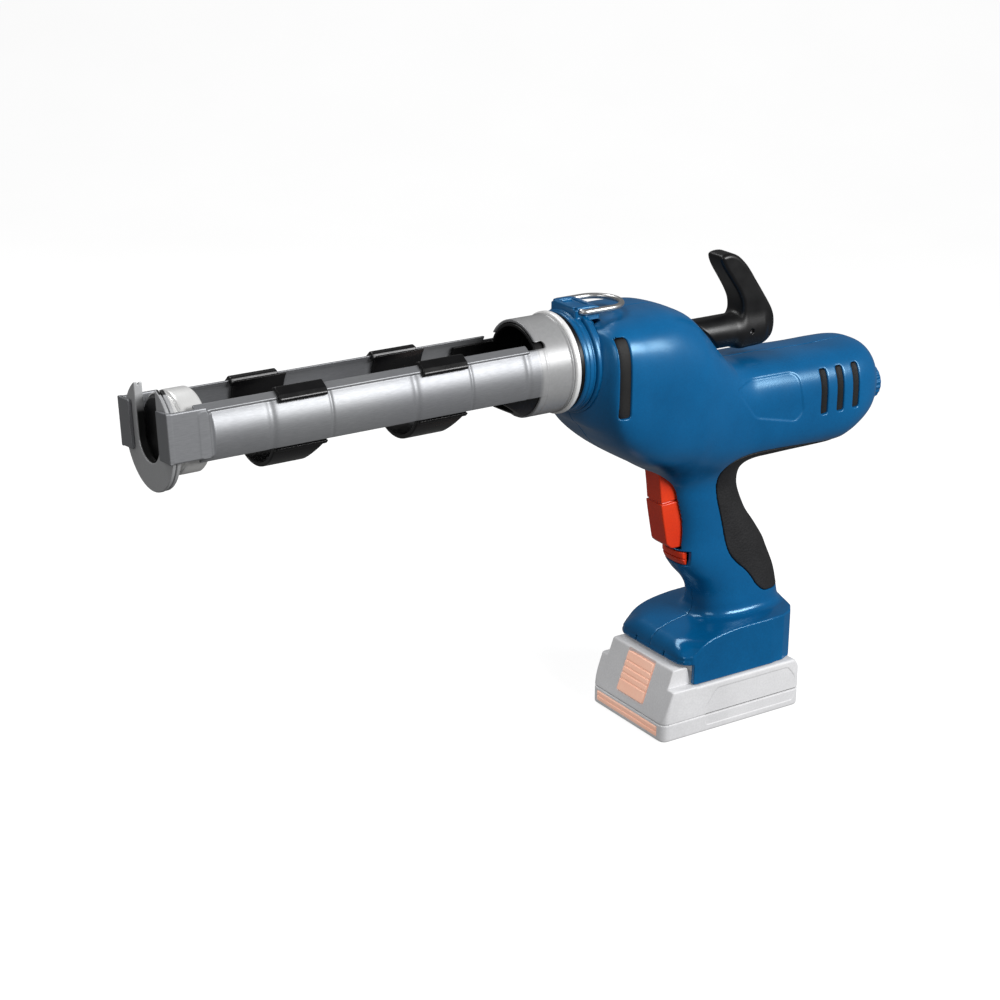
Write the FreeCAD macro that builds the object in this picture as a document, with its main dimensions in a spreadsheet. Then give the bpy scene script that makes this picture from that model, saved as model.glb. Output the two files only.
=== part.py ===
import FreeCAD, Part
import math
import os
import Sketcher

# Cordless caulking tool, millimetres, +Z up.
# The rod axis runs along X; the nose points to -X; the left side is -Y.
# Shapes are laid out from the rod axis and the rear edge of the collar, and
# the whole tool is then shifted so that the origin is the middle of the
# battery's bottom face.

os.makedirs("parts", exist_ok=True)
V = FreeCAD.Vector
ROT = FreeCAD.Rotation
PL = FreeCAD.Placement
doc = FreeCAD.newDocument("caulking_tool")
sheet = doc.addObject("Spreadsheet::Sheet", "dims")

CELLS = [
    ("org_x", "-116", "shift of the rod axis zero, X"),
    ("org_z", "241", "height of the rod axis above the battery bottom"),
    ("rod_r", "7", "push rod radius"),
    ("rod_front", "-236", "front end of the push rod"),
    ("rod_back", "146", "rear end of the push rod"),
    ("run_gap", "0.05", "running clearance, radial"),
    ("rack_mod", "1.5", "rack module"),
    ("rack_count", "54", "number of rack gaps"),
    ("rack_tip", "-6.4", "height of the rack tooth tips"),
    ("rack_pitch_z", "-5.2", "height of the rack pitch line"),
    ("rack_teeth", "12", "teeth of the rack pinion"),
    ("rack_face", "12", "face width of the rack pinion"),
    ("shaft_x", "75", "cross shafts, X"),
    ("pinion_z", "-14.2", "pinion shaft height"),
    ("motor_z", "-48.2", "motor axis height"),
    ("cross_r", "4", "cross shaft radius"),
    ("cross_len", "39", "cross shaft length"),
    ("spur_mod", "1", "spur pair module"),
    ("drive_teeth", "48", "teeth of the drive gear"),
    ("idler_teeth", "20", "teeth of the idler pinion"),
    ("spur_y", "8.5", "spur pair, start in Y"),
    ("spur_face", "6", "spur pair face width"),
    ("bevel_mod", "1.5", "bevel pair module"),
    ("bevel_teeth", "24", "bevel gear teeth"),
    ("bevel_small", "12", "bevel pinion teeth"),
    ("bevel_face", "5.2", "bevel face along the pinion axis"),
    ("plan_mod", "0.8", "planetary module"),
    ("sun_teeth", "12", "sun teeth"),
    ("planet_teeth", "18", "planet teeth"),
    ("ring_teeth", "48", "ring teeth"),
    ("plan_x", "113", "planet row start"),
    ("plan_face", "10", "planet face width"),
    ("case_r", "25", "gearbox case radius"),
    ("ring_r", "22.7", "ring gear outside radius"),
    ("can_r", "21", "motor can radius"),
    ("can_x", "130", "motor can start"),
    ("can_len", "58", "motor can length"),
    ("can_wall", "1.6", "motor can wall"),
    ("arm_shaft_r", "2.5", "motor shaft radius"),
    ("rotor_r", "15", "rotor radius"),
    ("rotor_len", "36", "rotor length"),
    ("tube_r", "28", "cartridge holder tube radius"),
    ("tube_wall", "1.8", "cartridge holder wall"),
    ("collar_front", "-23", "front edge of the holder collar"),
    ("collar_back", "-1", "rear edge of the holder collar"),
    ("rail_front", "-230", "front end of the curved rails"),
    ("rail_top", "14", "top of the curved part of the rails"),
    ("rail_low", "-12.3", "lower edge of the rails"),
    ("lip_top", "16.6", "top of the bent lip of the rails"),
    ("lip_y", "20.8", "inner reach of the bent lip"),
    ("holder_roll", "-6", "rest angle of the swivelling holder, degrees"),
    ("flat_front", "-248.6", "front of the bent end flanges"),
    ("plate_x", "-246.2", "front face of the end plate"),
    ("plate_thick", "5", "end plate thickness"),
    ("plate_r", "29.2", "end plate radius"),
    ("slot_r", "12.8", "nozzle slot half width"),
    ("saddle_x1", "-187", "front saddle start"),
    ("saddle_x2", "-101", "rear saddle start"),
    ("saddle_len", "31", "saddle length"),
    ("saddle_in", "23.9", "saddle inside radius"),
    ("saddle_out", "26.1", "saddle outside radius"),
    ("saddle_low", "26.3", "saddle radius below the rails"),
    ("seat_front", "-50", "front of the seat arms"),
    ("ring_big", "29.4", "retaining ring radius"),
    ("ring_bore", "24.2", "retaining ring bore"),
    ("spigot_r", "24.12", "swivel spigot radius"),
    ("pocket_r", "22.95", "pocket for the retracted plunger"),
    ("piston_r", "22.4", "plunger radius"),
    ("piston_x", "-240.5", "plunger front"),
    ("piston_len", "19", "plunger length"),
    ("nose_x", "10.4", "nose ring front"),
    ("nose_back", "16", "nose ring rear"),
    ("nose_r", "31", "nose ring radius"),
    ("bush_r", "11", "front bush radius"),
    ("lug_x", "9", "lug front"),
    ("lug_len", "17", "lug length"),
    ("lug_half", "12.3", "lug half width"),
    ("lug_top", "33.2", "lug top"),
    ("dee_x", "13", "ring pivot, X"),
    ("dee_z", "30.6", "ring pivot, height"),
    ("dee_wire", "1.7", "ring wire radius"),
    ("dee_half", "14.4", "ring half width"),
    ("dee_leg", "19", "ring straight leg"),
    ("wall", "3", "housing wall"),
    ("soft", "1.6", "soft grip thickness"),
    ("trig_half", "8", "trigger half width"),
    ("lock_x", "92.5", "lock bar, X"),
    ("lock_z", "-140.4", "lock bar, height"),
    ("lock_wide", "7", "lock bar depth"),
    ("lock_tall", "8.4", "lock bar height"),
    ("lock_len", "23", "lock bar length"),
    ("dial_x", "237.6", "dial start"),
    ("dial_z", "-50", "dial axis height"),
    ("dial_r", "12", "dial radius"),
    ("dial_len", "8.6", "dial length"),
    ("hook_r", "10", "hook arm radius"),
    ("hook_half", "9", "hook half width"),
    ("hook_x", "98", "hook arm start before its slanted cut"),
    ("pack_x", "61.5", "battery front"),
    ("pack_len", "109", "battery length"),
    ("pack_half", "37.5", "battery half width"),
    ("pack_low", "-241", "battery bottom"),
    ("pack_top", "-209.2", "top of the battery case"),
    ("cell_r", "10.4", "cell radius"),
    ("cell_len", "66", "cell length"),
    ("screw_r", "1.9", "screw shank radius"),
    ("screw_head", "3.7", "screw head radius"),
]
for i, (alias, val, note) in enumerate(CELLS, start=1):
    sheet.set("A%d" % i, note)
    sheet.set("B%d" % i, val)
    sheet.setAlias("B%d" % i, alias)
doc.recompute()


class Q(object):
    """A sheet size carried as a number and as its expression."""

    def __init__(self, v, e):
        self.v = v
        self.e = e

    def __add__(self, o):
        o = qq(o)
        return Q(self.v + o.v, "(%s + %s)" % (self.e, o.e))

    def __sub__(self, o):
        o = qq(o)
        return Q(self.v - o.v, "(%s - %s)" % (self.e, o.e))

    def __mul__(self, o):
        o = qq(o)
        return Q(self.v * o.v, "(%s * %s)" % (self.e, o.e))

    def __truediv__(self, o):
        o = qq(o)
        return Q(self.v / o.v, "(%s / %s)" % (self.e, o.e))

    def __neg__(self):
        return Q(-self.v, "(0 - %s)" % self.e)


def qq(o):
    return o if isinstance(o, Q) else Q(float(o), "(%.6f)" % float(o))


def D(alias):
    return Q(float(getattr(sheet, alias)), "dims." + alias)


def num(o):
    return o.v if isinstance(o, Q) else float(o)


def bind(obj, prop, o):
    if isinstance(o, Q):
        obj.setExpression(prop, o.e)
    else:
        setattr(obj, prop, float(o))


AX = {"x": ROT(V(0, 1, 0), 90), "y": ROT(V(1, 0, 0), -90), "z": ROT()}


def put(obj, x, y, z, rot=None):
    obj.Placement = PL(V(num(x), num(y), num(z)), rot or ROT())
    for c, o in (("x", x), ("y", y), ("z", z)):
        if isinstance(o, Q):
            obj.setExpression("Placement.Base." + c, o.e)
    return obj


def cyl(name, r, length, x, y, z, axis="x"):
    o = doc.addObject("Part::Cylinder", name)
    bind(o, "Radius", r)
    bind(o, "Height", length)
    return put(o, x, y, z, AX[axis])


def cone(name, r1, r2, length, x, y, z, axis="x"):
    o = doc.addObject("Part::Cone", name)
    bind(o, "Radius1", r1)
    bind(o, "Radius2", r2)
    bind(o, "Height", length)
    return put(o, x, y, z, AX[axis])


def box(name, lx, ly, lz, x, y, z):
    o = doc.addObject("Part::Box", name)
    bind(o, "Length", lx)
    bind(o, "Width", ly)
    bind(o, "Height", lz)
    return put(o, x, y, z)


def cut(name, a, b):
    o = doc.addObject("Part::Cut", name)
    o.Base = a
    o.Tool = b
    return o


def fuse(name, items):
    o = doc.addObject("Part::MultiFuse", name)
    o.Shapes = items
    o.Refine = False
    return o


def common(name, a, b):
    o = doc.addObject("Part::Common", name)
    o.Base = a
    o.Tool = b
    return o


def code(name, shape):
    o = doc.addObject("Part::Feature", name)
    o.Shape = shape
    return o


NODES = []


def node(obj, label):
    """Names a finished piece and shifts it into the shared frame."""
    obj.Label = label
    put(obj, D("org_x"), 0.0, D("org_z"))
    NODES.append(obj)
    return obj


def rolled(obj, label):
    """The same for the swivelling holder, which rests a little turned."""
    node(obj, label)
    r = num(D("holder_roll"))
    obj.Placement = PL(V(num(D("org_x")), 0, num(D("org_z"))), ROT(V(1, 0, 0), r))
    return obj


def body(name):
    b = doc.addObject("PartDesign::Body", name + "_body")
    return b


def sketch(b, name, role):
    s = b.newObject("Sketcher::SketchObject", name)
    p = [f for f in b.Origin.OriginFeatures if f.Role == role][0]
    s.AttachmentSupport = [(p, "")]
    s.MapMode = "FlatFace"
    return s


def outline(s, pts):
    """A closed outline whose corners are held by their distances to the axes."""
    n = len(pts)
    pv = [V(num(a), num(b), 0) for a, b in pts]
    g = [s.addGeometry(Part.LineSegment(pv[i], pv[(i + 1) % n]), False) for i in range(n)]
    for i in range(n):
        s.addConstraint(Sketcher.Constraint("Coincident", g[i], 2, g[(i + 1) % n], 1))
    for i, (a, b) in enumerate(pts):
        for kind, o in (("DistanceX", a), ("DistanceY", b)):
            if abs(num(o)) < 1e-9:
                s.addConstraint(Sketcher.Constraint("PointOnObject", g[i], 1, -2 if kind == "DistanceX" else -1))
                continue
            k = s.addConstraint(Sketcher.Constraint(kind, -1, 1, g[i], 1, num(o)))
            if isinstance(o, Q):
                s.setExpression("Constraints[%d]" % k, o.e)
    return g


def circle(s, r, cx=0.0, cy=0.0):
    i = s.addGeometry(Part.Circle(V(num(cx), num(cy), 0), V(0, 0, 1), num(r)), False)
    k = s.addConstraint(Sketcher.Constraint("Radius", i, num(r)))
    if isinstance(r, Q):
        s.setExpression("Constraints[%d]" % k, r.e)
    if abs(num(cx)) < 1e-9 and abs(num(cy)) < 1e-9:
        s.addConstraint(Sketcher.Constraint("Coincident", i, 3, -1, 1))
    else:
        for kind, o in (("DistanceX", cx), ("DistanceY", cy)):
            if abs(num(o)) < 1e-9:
                s.addConstraint(Sketcher.Constraint("PointOnObject", i, 3, -2 if kind == "DistanceX" else -1))
                continue
            k = s.addConstraint(Sketcher.Constraint(kind, -1, 1, i, 3, num(o)))
            if isinstance(o, Q):
                s.setExpression("Constraints[%d]" % k, o.e)
    return i


def spin(name, pts):
    """A turned piece: outline in (x, radius) revolved about the X axis."""
    b = body(name)
    s = sketch(b, name + "_profile", "XZ_Plane")
    outline(s, pts)
    r = b.newObject("PartDesign::Revolution", name + "_turn")
    r.Profile = s
    r.ReferenceAxis = (s, ["H_Axis"])
    r.Angle = 360.0
    b.Tip = r
    return b


def slab(name, pts, width):
    """A side outline in (x, z) padded evenly to both sides."""
    b = body(name)
    s = sketch(b, name + "_profile", "XZ_Plane")
    outline(s, pts)
    p = b.newObject("PartDesign::Pad", name + "_pad")
    p.Profile = s
    bind(p, "Length", width)
    p.Midplane = True
    b.Tip = p
    return b


def bar_x(name, pts, x0, length):
    """A cross outline in (y, z) padded along X."""
    b = body(name)
    s = sketch(b, name + "_profile", "YZ_Plane")
    outline(s, pts)
    p = b.newObject("PartDesign::Pad", name + "_pad")
    p.Profile = s
    bind(p, "Length", length)
    b.Tip = p
    put(b, x0, 0.0, 0.0)
    return b


def soften(b, base, size, pick):
    """Rounds the edges of the last feature that pick chooses."""
    doc.recompute()
    names = ["Edge%d" % (i + 1) for i, e in enumerate(base.Shape.Edges) if pick(e)]
    f = b.newObject("PartDesign::Fillet", base.Name + "_round")
    f.Base = (base, names)
    f.Radius = size
    b.Tip = f
    return f


# ------------------------------------------------------------------ gears
ALPHA = math.radians(25.0)
ADD, DED = 0.8, 1.05


def inv(a):
    return math.tan(a) - a


def gear_points(z, m, thin, phase, add=ADD, ded=DED):
    """Points of an involute outline, tooth centred on the phase angle."""
    rp = z * m / 2.0
    rb = rp * math.cos(ALPHA)
    ra = rp + add * m
    rr = rp - ded * m
    half = (math.pi * m / 2.0 - thin) / (2.0 * rp)
    flank = []
    r0 = max(rb, rr)
    for i in range(6):
        r = r0 + (ra - r0) * i / 5.0
        a = math.acos(min(1.0, rb / r))
        flank.append((r, half + inv(ALPHA) - inv(a)))
    if rr < rb:
        flank.insert(0, (rr, flank[0][1]))
    pts = []
    for k in range(z):
        c = phase + 2 * math.pi * k / z
        for r, w in flank:
            pts.append((r * math.cos(c - w), r * math.sin(c - w)))
        for r, w in reversed(flank):
            pts.append((r * math.cos(c + w), r * math.sin(c + w)))
    return pts


def ring_wire(pts, place):
    v = [place(a, b) for a, b in pts]
    v.append(v[0])
    return Part.makePolygon(v)


def gear_y(z, m, thin, phase, x, z0, y0, width, bore):
    """Spur gear on a Y axis; angles run from +X towards +Z."""
    w = ring_wire(gear_points(z, m, thin, phase), lambda a, b: V(x + a, y0, z0 + b))
    s = Part.Face(w).extrude(V(0, width, 0))
    return s.cut(Part.makeCylinder(bore, width + 2, V(x, y0 - 1, z0), V(0, 1, 0)))


def gear_x(z, m, thin, phase, y, z0, x0, width, bore):
    """Spur gear on an X axis; angles run from +Y towards +Z."""
    w = ring_wire(gear_points(z, m, thin, phase), lambda a, b: V(x0, y + a, z0 + b))
    s = Part.Face(w).extrude(V(width, 0, 0))
    if bore > 0:
        s = s.cut(Part.makeCylinder(bore, width + 2, V(x0 - 1, y, z0), V(1, 0, 0)))
    return s


# ------------------------------------------------------------------ lofted forms
def closed(pts):
    c = Part.BSplineCurve()
    c.interpolate(Points=pts, PeriodicFlag=True)
    return Part.Wire([c.toShape()])


def oval(a, b, n, count=28):
    out = []
    for i in range(count):
        t = 2 * math.pi * i / count
        c, s = math.cos(t), math.sin(t)
        out.append((a * math.copysign(abs(c) ** (2.0 / n), c), b * math.copysign(abs(s) ** (2.0 / n), s)))
    return out


def loft_x(rows, inset):
    """Rows of (x, centre z, half height, half width, fullness)."""
    ws = []
    for x, zc, rz, ry, n in rows:
        ws.append(closed([V(x, b, zc + a) for a, b in oval(rz - inset, ry - inset, n)]))
    return Part.makeLoft(ws, True, False)


def loft_z(rows, inset):
    """Rows of (z, centre x, half length, half width, fullness)."""
    ws = []
    for z, xc, a0, b0, n in rows:
        ws.append(closed([V(xc + a, b, z) for a, b in oval(a0 - inset, b0 - inset, n)]))
    return Part.makeLoft(ws, True, False)


MZ = num(D("motor_z"))
BELL = [
    (16, -6, 29.5, 33, 2.1), (20, -9, 31, 38.5, 3), (28, -14, 37.1, 40.5, 3),
    (40, -18.5, 42.1, 41.5, 3), (55, -22.5, 46.1, 41.5, 3), (70, -25.3, 47.9, 40.5, 3),
    (84, -29, 47.8, 39, 2.9), (95, -34, 44.5, 36.8, 2.8), (106, -40.5, 39.1, 34.4, 2.8),
    (118, -47, 32.4, 32.4, 2.8), (130, MZ, 30.8, 31.4, 2.8), (160, MZ, 30.8, 31.4, 2.8),
    (190, MZ, 30.8, 31.4, 2.8), (200, MZ, 30.8, 31.4, 2.8), (208, MZ + 1.1, 29.6, 30.8, 2.6), (216, MZ + 2.6, 27.6, 29.5, 2.4),
    (224, MZ + 4, 25, 27.5, 2.2), (232, MZ + 4.2, 20.8, 23.2, 2.1), (237, MZ + 2.2, 16, 17.5, 2),
]
GRIP = [
    (-58, 100, 34, 20, 2.4), (-70, 100, 33, 19, 2.4), (-80, 105, 28, 17.6, 2.5), (-88, 109, 25.2, 16.8, 2.6),
    (-97, 111.2, 24.4, 16.4, 2.7), (-110, 115.8, 25.2, 16.6, 2.8), (-125, 121.5, 30, 17.2, 2.9),
    (-137, 125, 33.8, 17.7, 3), (-147, 130.5, 33, 18, 2.9), (-156, 136.5, 31, 18.4, 2.7), (-164, 139.5, 30, 19, 2.6),
    (-172, 140.5, 30.5, 20, 2.6), (-186, 141, 31, 21, 2.6),
]
FOOT = [
    (-208.5, 125.5, 47, 35, 4), (-196, 125.5, 47, 35, 4), (-188, 125.7, 46.5, 34.8, 4), (-184, 126.5, 45.5, 34, 3.9),
    (-181.5, 128, 43, 31.5, 3.6), (-179.5, 131, 39, 27, 3.2), (-174.5, 137, 33, 21, 2.7),
]
# side outline of the soft grip
SOFT = [
    (214, -77.5), (192, -74.5), (161, -71.4), (139, -70.2), (124, -71), (115.5, -74), (111.6, -79.5),
    (111.2, -87), (113, -99), (117, -114), (120.4, -128.7), (124, -137), (129.5, -143.5), (136.3, -149.6),
    (141.2, -155.3), (145, -160.8), (151, -165.9), (157.5, -167), (190, -167), (190, -120), (150, -100), (214, -100),
]

wall = num(D("wall"))
soft = num(D("soft"))


def tool_form(inset):
    bell = list(BELL)
    if inset > 0:
        bell[0] = (16 + inset,) + tuple(bell[0][1:])
        bell[-1] = (237 - inset,) + tuple(bell[-1][1:])
        bell[1] = (22 + inset * 0.3,) + tuple(bell[1][1:])
    foot = list(FOOT)
    if inset > 0:
        foot = [(r[0] - 0.8 * inset if r[0] > -190 else r[0],) + tuple(r[1:]) for r in foot]
    a = loft_x(bell, inset)
    b = loft_z(GRIP, inset)
    c = loft_z(foot, inset)
    return a.fuse([b, c])


def prism(pts):
    v = [V(x, -60, z) for x, z in pts]
    v.append(v[0])
    return Part.Face(Part.makePolygon(v)).extrude(V(0, 120, 0))


def pbox(x0, x1, y0, y1, z0, z1):
    return Part.makeBox(x1 - x0, y1 - y0, z1 - z0, V(x0, y0, z0))


def pcyl(r, x0, x1, y, z):
    return Part.makeCylinder(r, x1 - x0, V(x0, y, z), V(1, 0, 0))


def ycyl(r, y0, y1, x, z):
    return Part.makeCylinder(r, y1 - y0, V(x, y0, z), V(0, 1, 0))


SCREWS = [(36, -37), (150, -75.3), (216, -65), (139, -137), (150, -167)]

outer = tool_form(0.0)
inner = tool_form(wall)
under = tool_form(soft)
zone = prism(SOFT)
skin = outer.cut(under)
pad = skin.common(zone)

lug_x, lug_len, lug_half = num(D("lug_x")), num(D("lug_len")), num(D("lug_half"))
sr, sh = num(D("screw_r")), num(D("screw_head"))
bosses = []
for sx, sz in SCREWS:
    bosses.append(ycyl(5.6, -45, 45, sx, sz).common(outer))
shell = outer.cut(pad).cut(inner)
shell = shell.fuse([b.cut(pad) for b in bosses])
cuts = [
    pcyl(26.0, 10, 22.5, 0, 0),
    pbox(10, lug_x + lug_len + 0.3, -lug_half - 0.3, lug_half + 0.3, 15, 60),
    pcyl(num(D("rod_r")) + 1.25, 80, 125, 0, 0),
    pbox(55, 112, -8.6, 8.6, -130.6, -75.8),
    pbox(80, num(D("lock_x")) + num(D("lock_wide")) + 0.4, -15, 15, num(D("lock_z")) - 0.4,
         num(D("lock_z")) + num(D("lock_tall")) + 0.4),
    pbox(50, 159.6, -31.4, 31.4, -215, -195.5),
    pcyl(3.1, 222, 260, 0, num(D("dial_z"))),
]
for sgn in (-1, 1):
    y0, y1 = (-60, -22) if sgn < 0 else (22, 60)
    cuts.append(pbox(20.8, 29.6, y0, y1, -27, 18.5))
    for vx in (177.6, 190.3, 202.9):
        cuts.append(pbox(vx, vx + 6.0, -48, -18, -53.2, -25.8) if sgn < 0 else pbox(vx, vx + 6.0, 18, 48, -53.2, -25.8))
for sx, sz in SCREWS:
    cuts.append(ycyl(sr + 0.1, -12.2, 14, sx, sz))
    cuts.append(ycyl(4.1, 11.6, 60, sx, sz))
# recessed bare panel on both sides of the barrel
PANEL = [(112, -27), (125, -23.8), (157, -24.3), (161, -27), (164, -44.5), (155, -53.5), (128, -46.7)]
cuts.append(outer.cut(tool_form(0.5)).common(prism(PANEL)))
shell = shell.cut(cuts)


def biggest(s):
    return max(s.Solids, key=lambda q: q.Volume)


for sgn in (-1, 1):
    shell = shell.fuse(pbox(90, 155, -33, -27.2, -206, -203) if sgn < 0 else pbox(90, 155, 27.2, 33, -206, -203))
left = biggest(shell.common(pbox(0, 260, -60, 0, -260, 60)))
right = biggest(shell.common(pbox(0, 260, 0, 60, -260, 60)))
node(code("housing_left", left), "housing_left")
node(code("housing_right", right), "housing_right")
padcut = [ycyl(4.1, 11.6, 60, sx, sz) for sx, sz in SCREWS] + [ycyl(sr + 0.3, -12.6, 14, sx, sz) for sx, sz in SCREWS]
node(code("grip_overmould", biggest(pad.cut(padcut))), "grip_overmould")

# screws of the clamshell, all alike
items = []
for i, (sx, sz) in enumerate(SCREWS):
    items.append(cyl("screw_shank%d" % i, D("screw_r"), 24.2, sx, -12, sz, "y"))
    hd = cyl("screw_head%d" % i, D("screw_head"), 3.2, sx, 11.4 + 0.3, sz, "y")
    sl = box("screw_slot%d" % i, 4.6, 1.6, 1.2, sx - 2.3, 13.6, sz - 0.6)
    items.append(cut("screw_top%d" % i, hd, sl))
node(fuse("screw_set", items), "housing_screws")

# ------------------------------------------------------------------ nose
nx, nb, nr = D("nose_x"), D("nose_back"), D("nose_r")
b = spin("nose_turn", [
    (nx, D("bush_r")), (nx, nr - 2.0), (nx + 0.5, nr - 1.5), (nx + 1.6, nr - 1.5), (nx + 1.8, nr - 2.0),
    (nx + 2.2, nr - 2.0), (nx + 2.6, nr), (nx + 4.8, nr), (nx + 5.2, nr - 0.9), (nb, nr - 0.9),
    (nb, 25.9), (nb + 6, 25.9), (nb + 6, 20), (nb - 1, 20), (nb - 1, D("bush_r")),
])
lug = box("lug_block", D("lug_len"), D("lug_half") * 2, D("lug_top") - 26, D("lug_x"), -D("lug_half"), 26)
lug2 = box("lug_root", 9.6, D("lug_half") * 2, 8, D("lug_x") + 1.4, -D("lug_half"), 22)
hole = cyl("lug_hole", D("dee_wire") + D("run_gap"), 40, D("dee_x"), -20, D("dee_z"), "y")
gr1 = box("lug_groove", 2.2, 30, 2, D("lug_x") + 14, -15, D("lug_top") - 1.2)
clear = cyl("lug_clear", 27.7, nx, 0, 0, 0)
# wider mouths at both ends of the pin hole, where the wire starts to bend
mouth_l = cyl("lug_mouth_l", D("dee_wire") + 0.8, 3, D("dee_x"), -14.4, D("dee_z"), "y")
mouth_r = cyl("lug_mouth_r", D("dee_wire") + 0.8, 3, D("dee_x"), 11.4, D("dee_z"), "y")
node(cut("nose_cut", fuse("nose_all", [b, lug, lug2]), fuse("nose_holes", [hole, gr1, clear, mouth_l, mouth_r])), "nose_ring")

b = spin("swivel_turn", [
    (-3.7, D("pocket_r")), (-3.7, 25.5), (-1.3, 25.5), (-1.3, D("spigot_r")), (3.1, D("spigot_r")), (3.1, 27.6),
    (nx, 27.6), (nx, D("bush_r")), (1.6, D("bush_r")), (1.6, D("pocket_r")),
])
node(b, "swivel_bush")
b = spin("front_bush_turn", [
    (2.2, D("rod_r") + D("run_gap")), (2.2, D("bush_r")), (nb - 1, D("bush_r")), (nb - 1, D("rod_r") + D("run_gap")),
])
node(b, "front_rod_bush")
b = spin("rear_bush_turn", [
    (85, D("rod_r") + D("run_gap")), (85, 8.2), (100.5, 8.2), (100.5, D("rod_r") + D("run_gap")),
])
node(b, "rear_rod_bush")

# carrying ring on the lug: legs, bow and two inward pins
dw, dh, dl = num(D("dee_wire")), num(D("dee_half")), num(D("dee_leg"))
dx, dz = num(D("dee_x")), num(D("dee_z"))
bend = 2.0
arc = Part.Arc(V(dx + dl, -dh, dz), V(dx + dl + dh, 0, dz), V(dx + dl, dh, dz)).toShape()
k = bend * (1 - math.sqrt(0.5))
edges = [
    Part.LineSegment(V(dx, -9, dz), V(dx, -dh + bend, dz)).toShape(),
    Part.Arc(V(dx, -dh + bend, dz), V(dx + k, -dh + k, dz), V(dx + bend, -dh, dz)).toShape(),
    Part.LineSegment(V(dx + bend, -dh, dz), V(dx + dl, -dh, dz)).toShape(),
    arc,
    Part.LineSegment(V(dx + dl, dh, dz), V(dx + bend, dh, dz)).toShape(),
    Part.Arc(V(dx + bend, dh, dz), V(dx + k, dh - k, dz), V(dx, dh - bend, dz)).toShape(),
    Part.LineSegment(V(dx, dh - bend, dz), V(dx, 9, dz)).toShape(),
]
path = Part.Wire(edges)
prof = Part.Wire([Part.makeCircle(dw, V(dx, -9, dz), V(0, 1, 0))])
node(code("dee_sweep", path.makePipeShell([prof], True, False)), "d_ring")

# ------------------------------------------------------------------ cartridge holder
tr, tw = D("tube_r"), D("tube_wall")
tube = cut("tube", cyl("tube_out", tr, D("collar_back") - D("rail_front"), D("rail_front"), 0, 0),
           cyl("tube_in", tr - tw, 400, -300, 0, 0))
top = box("tube_top", D("collar_front") - D("rail_front") + 1, 80, 40, D("rail_front") - 1, -40, D("rail_top"))
low = box("tube_low", D("collar_front") - D("rail_front") + 1, 80, 40, D("rail_front") - 1, -40, D("rail_low") - 40)
notch = box("collar_notch", 6.2, 80, 3.6, -23.5, -40, 14.0)
rails = cut("rails", tube, fuse("tube_cuts", [top, low, notch]))
parts = [rails]
LIP_LEN = D("collar_front") - D("rail_front") - 8
for sgn, tag in ((-1, "l"), (1, "r")):
    y_out = -29.8 if sgn < 0 else 27.8
    parts.append(box("bracket_" + tag, 22.6, 2, 26, D("flat_front"), y_out, -9.4))
    parts.append(box("flange_" + tag, 2.3, 12.8, 26, D("flat_front"), -29.8 if sgn < 0 else 17.0, -9.4))
    parts.append(box("joggle_" + tag, 7, 4.6, 23.4, D("rail_front"), -29.8 if sgn < 0 else 25.2, -9.4))
clear = cyl("holder_clear", tr - tw, 300, -246.2, 0, 0)
lips = []
for sgn, tag in ((-1, "l"), (1, "r")):
    q = 1.0 * sgn
    ly, lz = D("lip_y"), D("lip_top")
    lips.append(bar_x("lip_" + tag, [(Q(24.25 * q, "%.3f" % (24.25 * q)), D("rail_top")), (ly * q, lz), ((ly - 1.1) * q, lz - 1.42), (22.35 * q, D("rail_top") - 0.75)],
                      D("rail_front"), LIP_LEN))
beads = []
for i, bx in enumerate((-190.5, -155.0, -104.5, -69.0, -32.9)):
    wid = 3.4 if i % 2 == 0 else 2.2
    t = cut("bead%d" % i, cyl("bead_out%d" % i, tr + 0.45, wid, bx, 0, 0), cyl("bead_in%d" % i, tr - 0.5, wid + 2, bx - 1, 0, 0))
    beads.append(common("bead_band%d" % i, t, box("bead_box%d" % i, wid + 4, 80, 26.0, bx - 2, -40, D("rail_low") + 0.2)))
rolled(fuse("holder_full", [cut("holder_bored", fuse("holder_all", parts), clear)] + lips + beads), "holder_frame")

px, pt, pr = D("plate_x"), D("plate_thick"), D("plate_r")
b = spin("plate_turn", [(px, 0), (px, pr - 0.8), (px + 0.5, pr), (px + 2.0, pr), (px + 2.0, pr - 1.0), (px + 2.5, pr - 1.0),
                        (px + 2.5, pr - 0.3), (px + pt, pr - 0.3), (px + pt, 0)])
slot = fuse("plate_slot", [cyl("slot_round", D("slot_r"), 20, -257, 0, -1.2), box("slot_box", 20, D("slot_r") * 2, 60, -257, -D("slot_r"), -1.2)])
flats = fuse("plate_flats", [box("flat_l", 20, 10, 26.8, -257, -37.7, -9.8), box("flat_r", 20, 10, 26.8, -257, 27.7, -9.8)])
rolled(cut("plate_cut", b, fuse("plate_tools", [slot, flats])), "end_plate")


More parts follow.
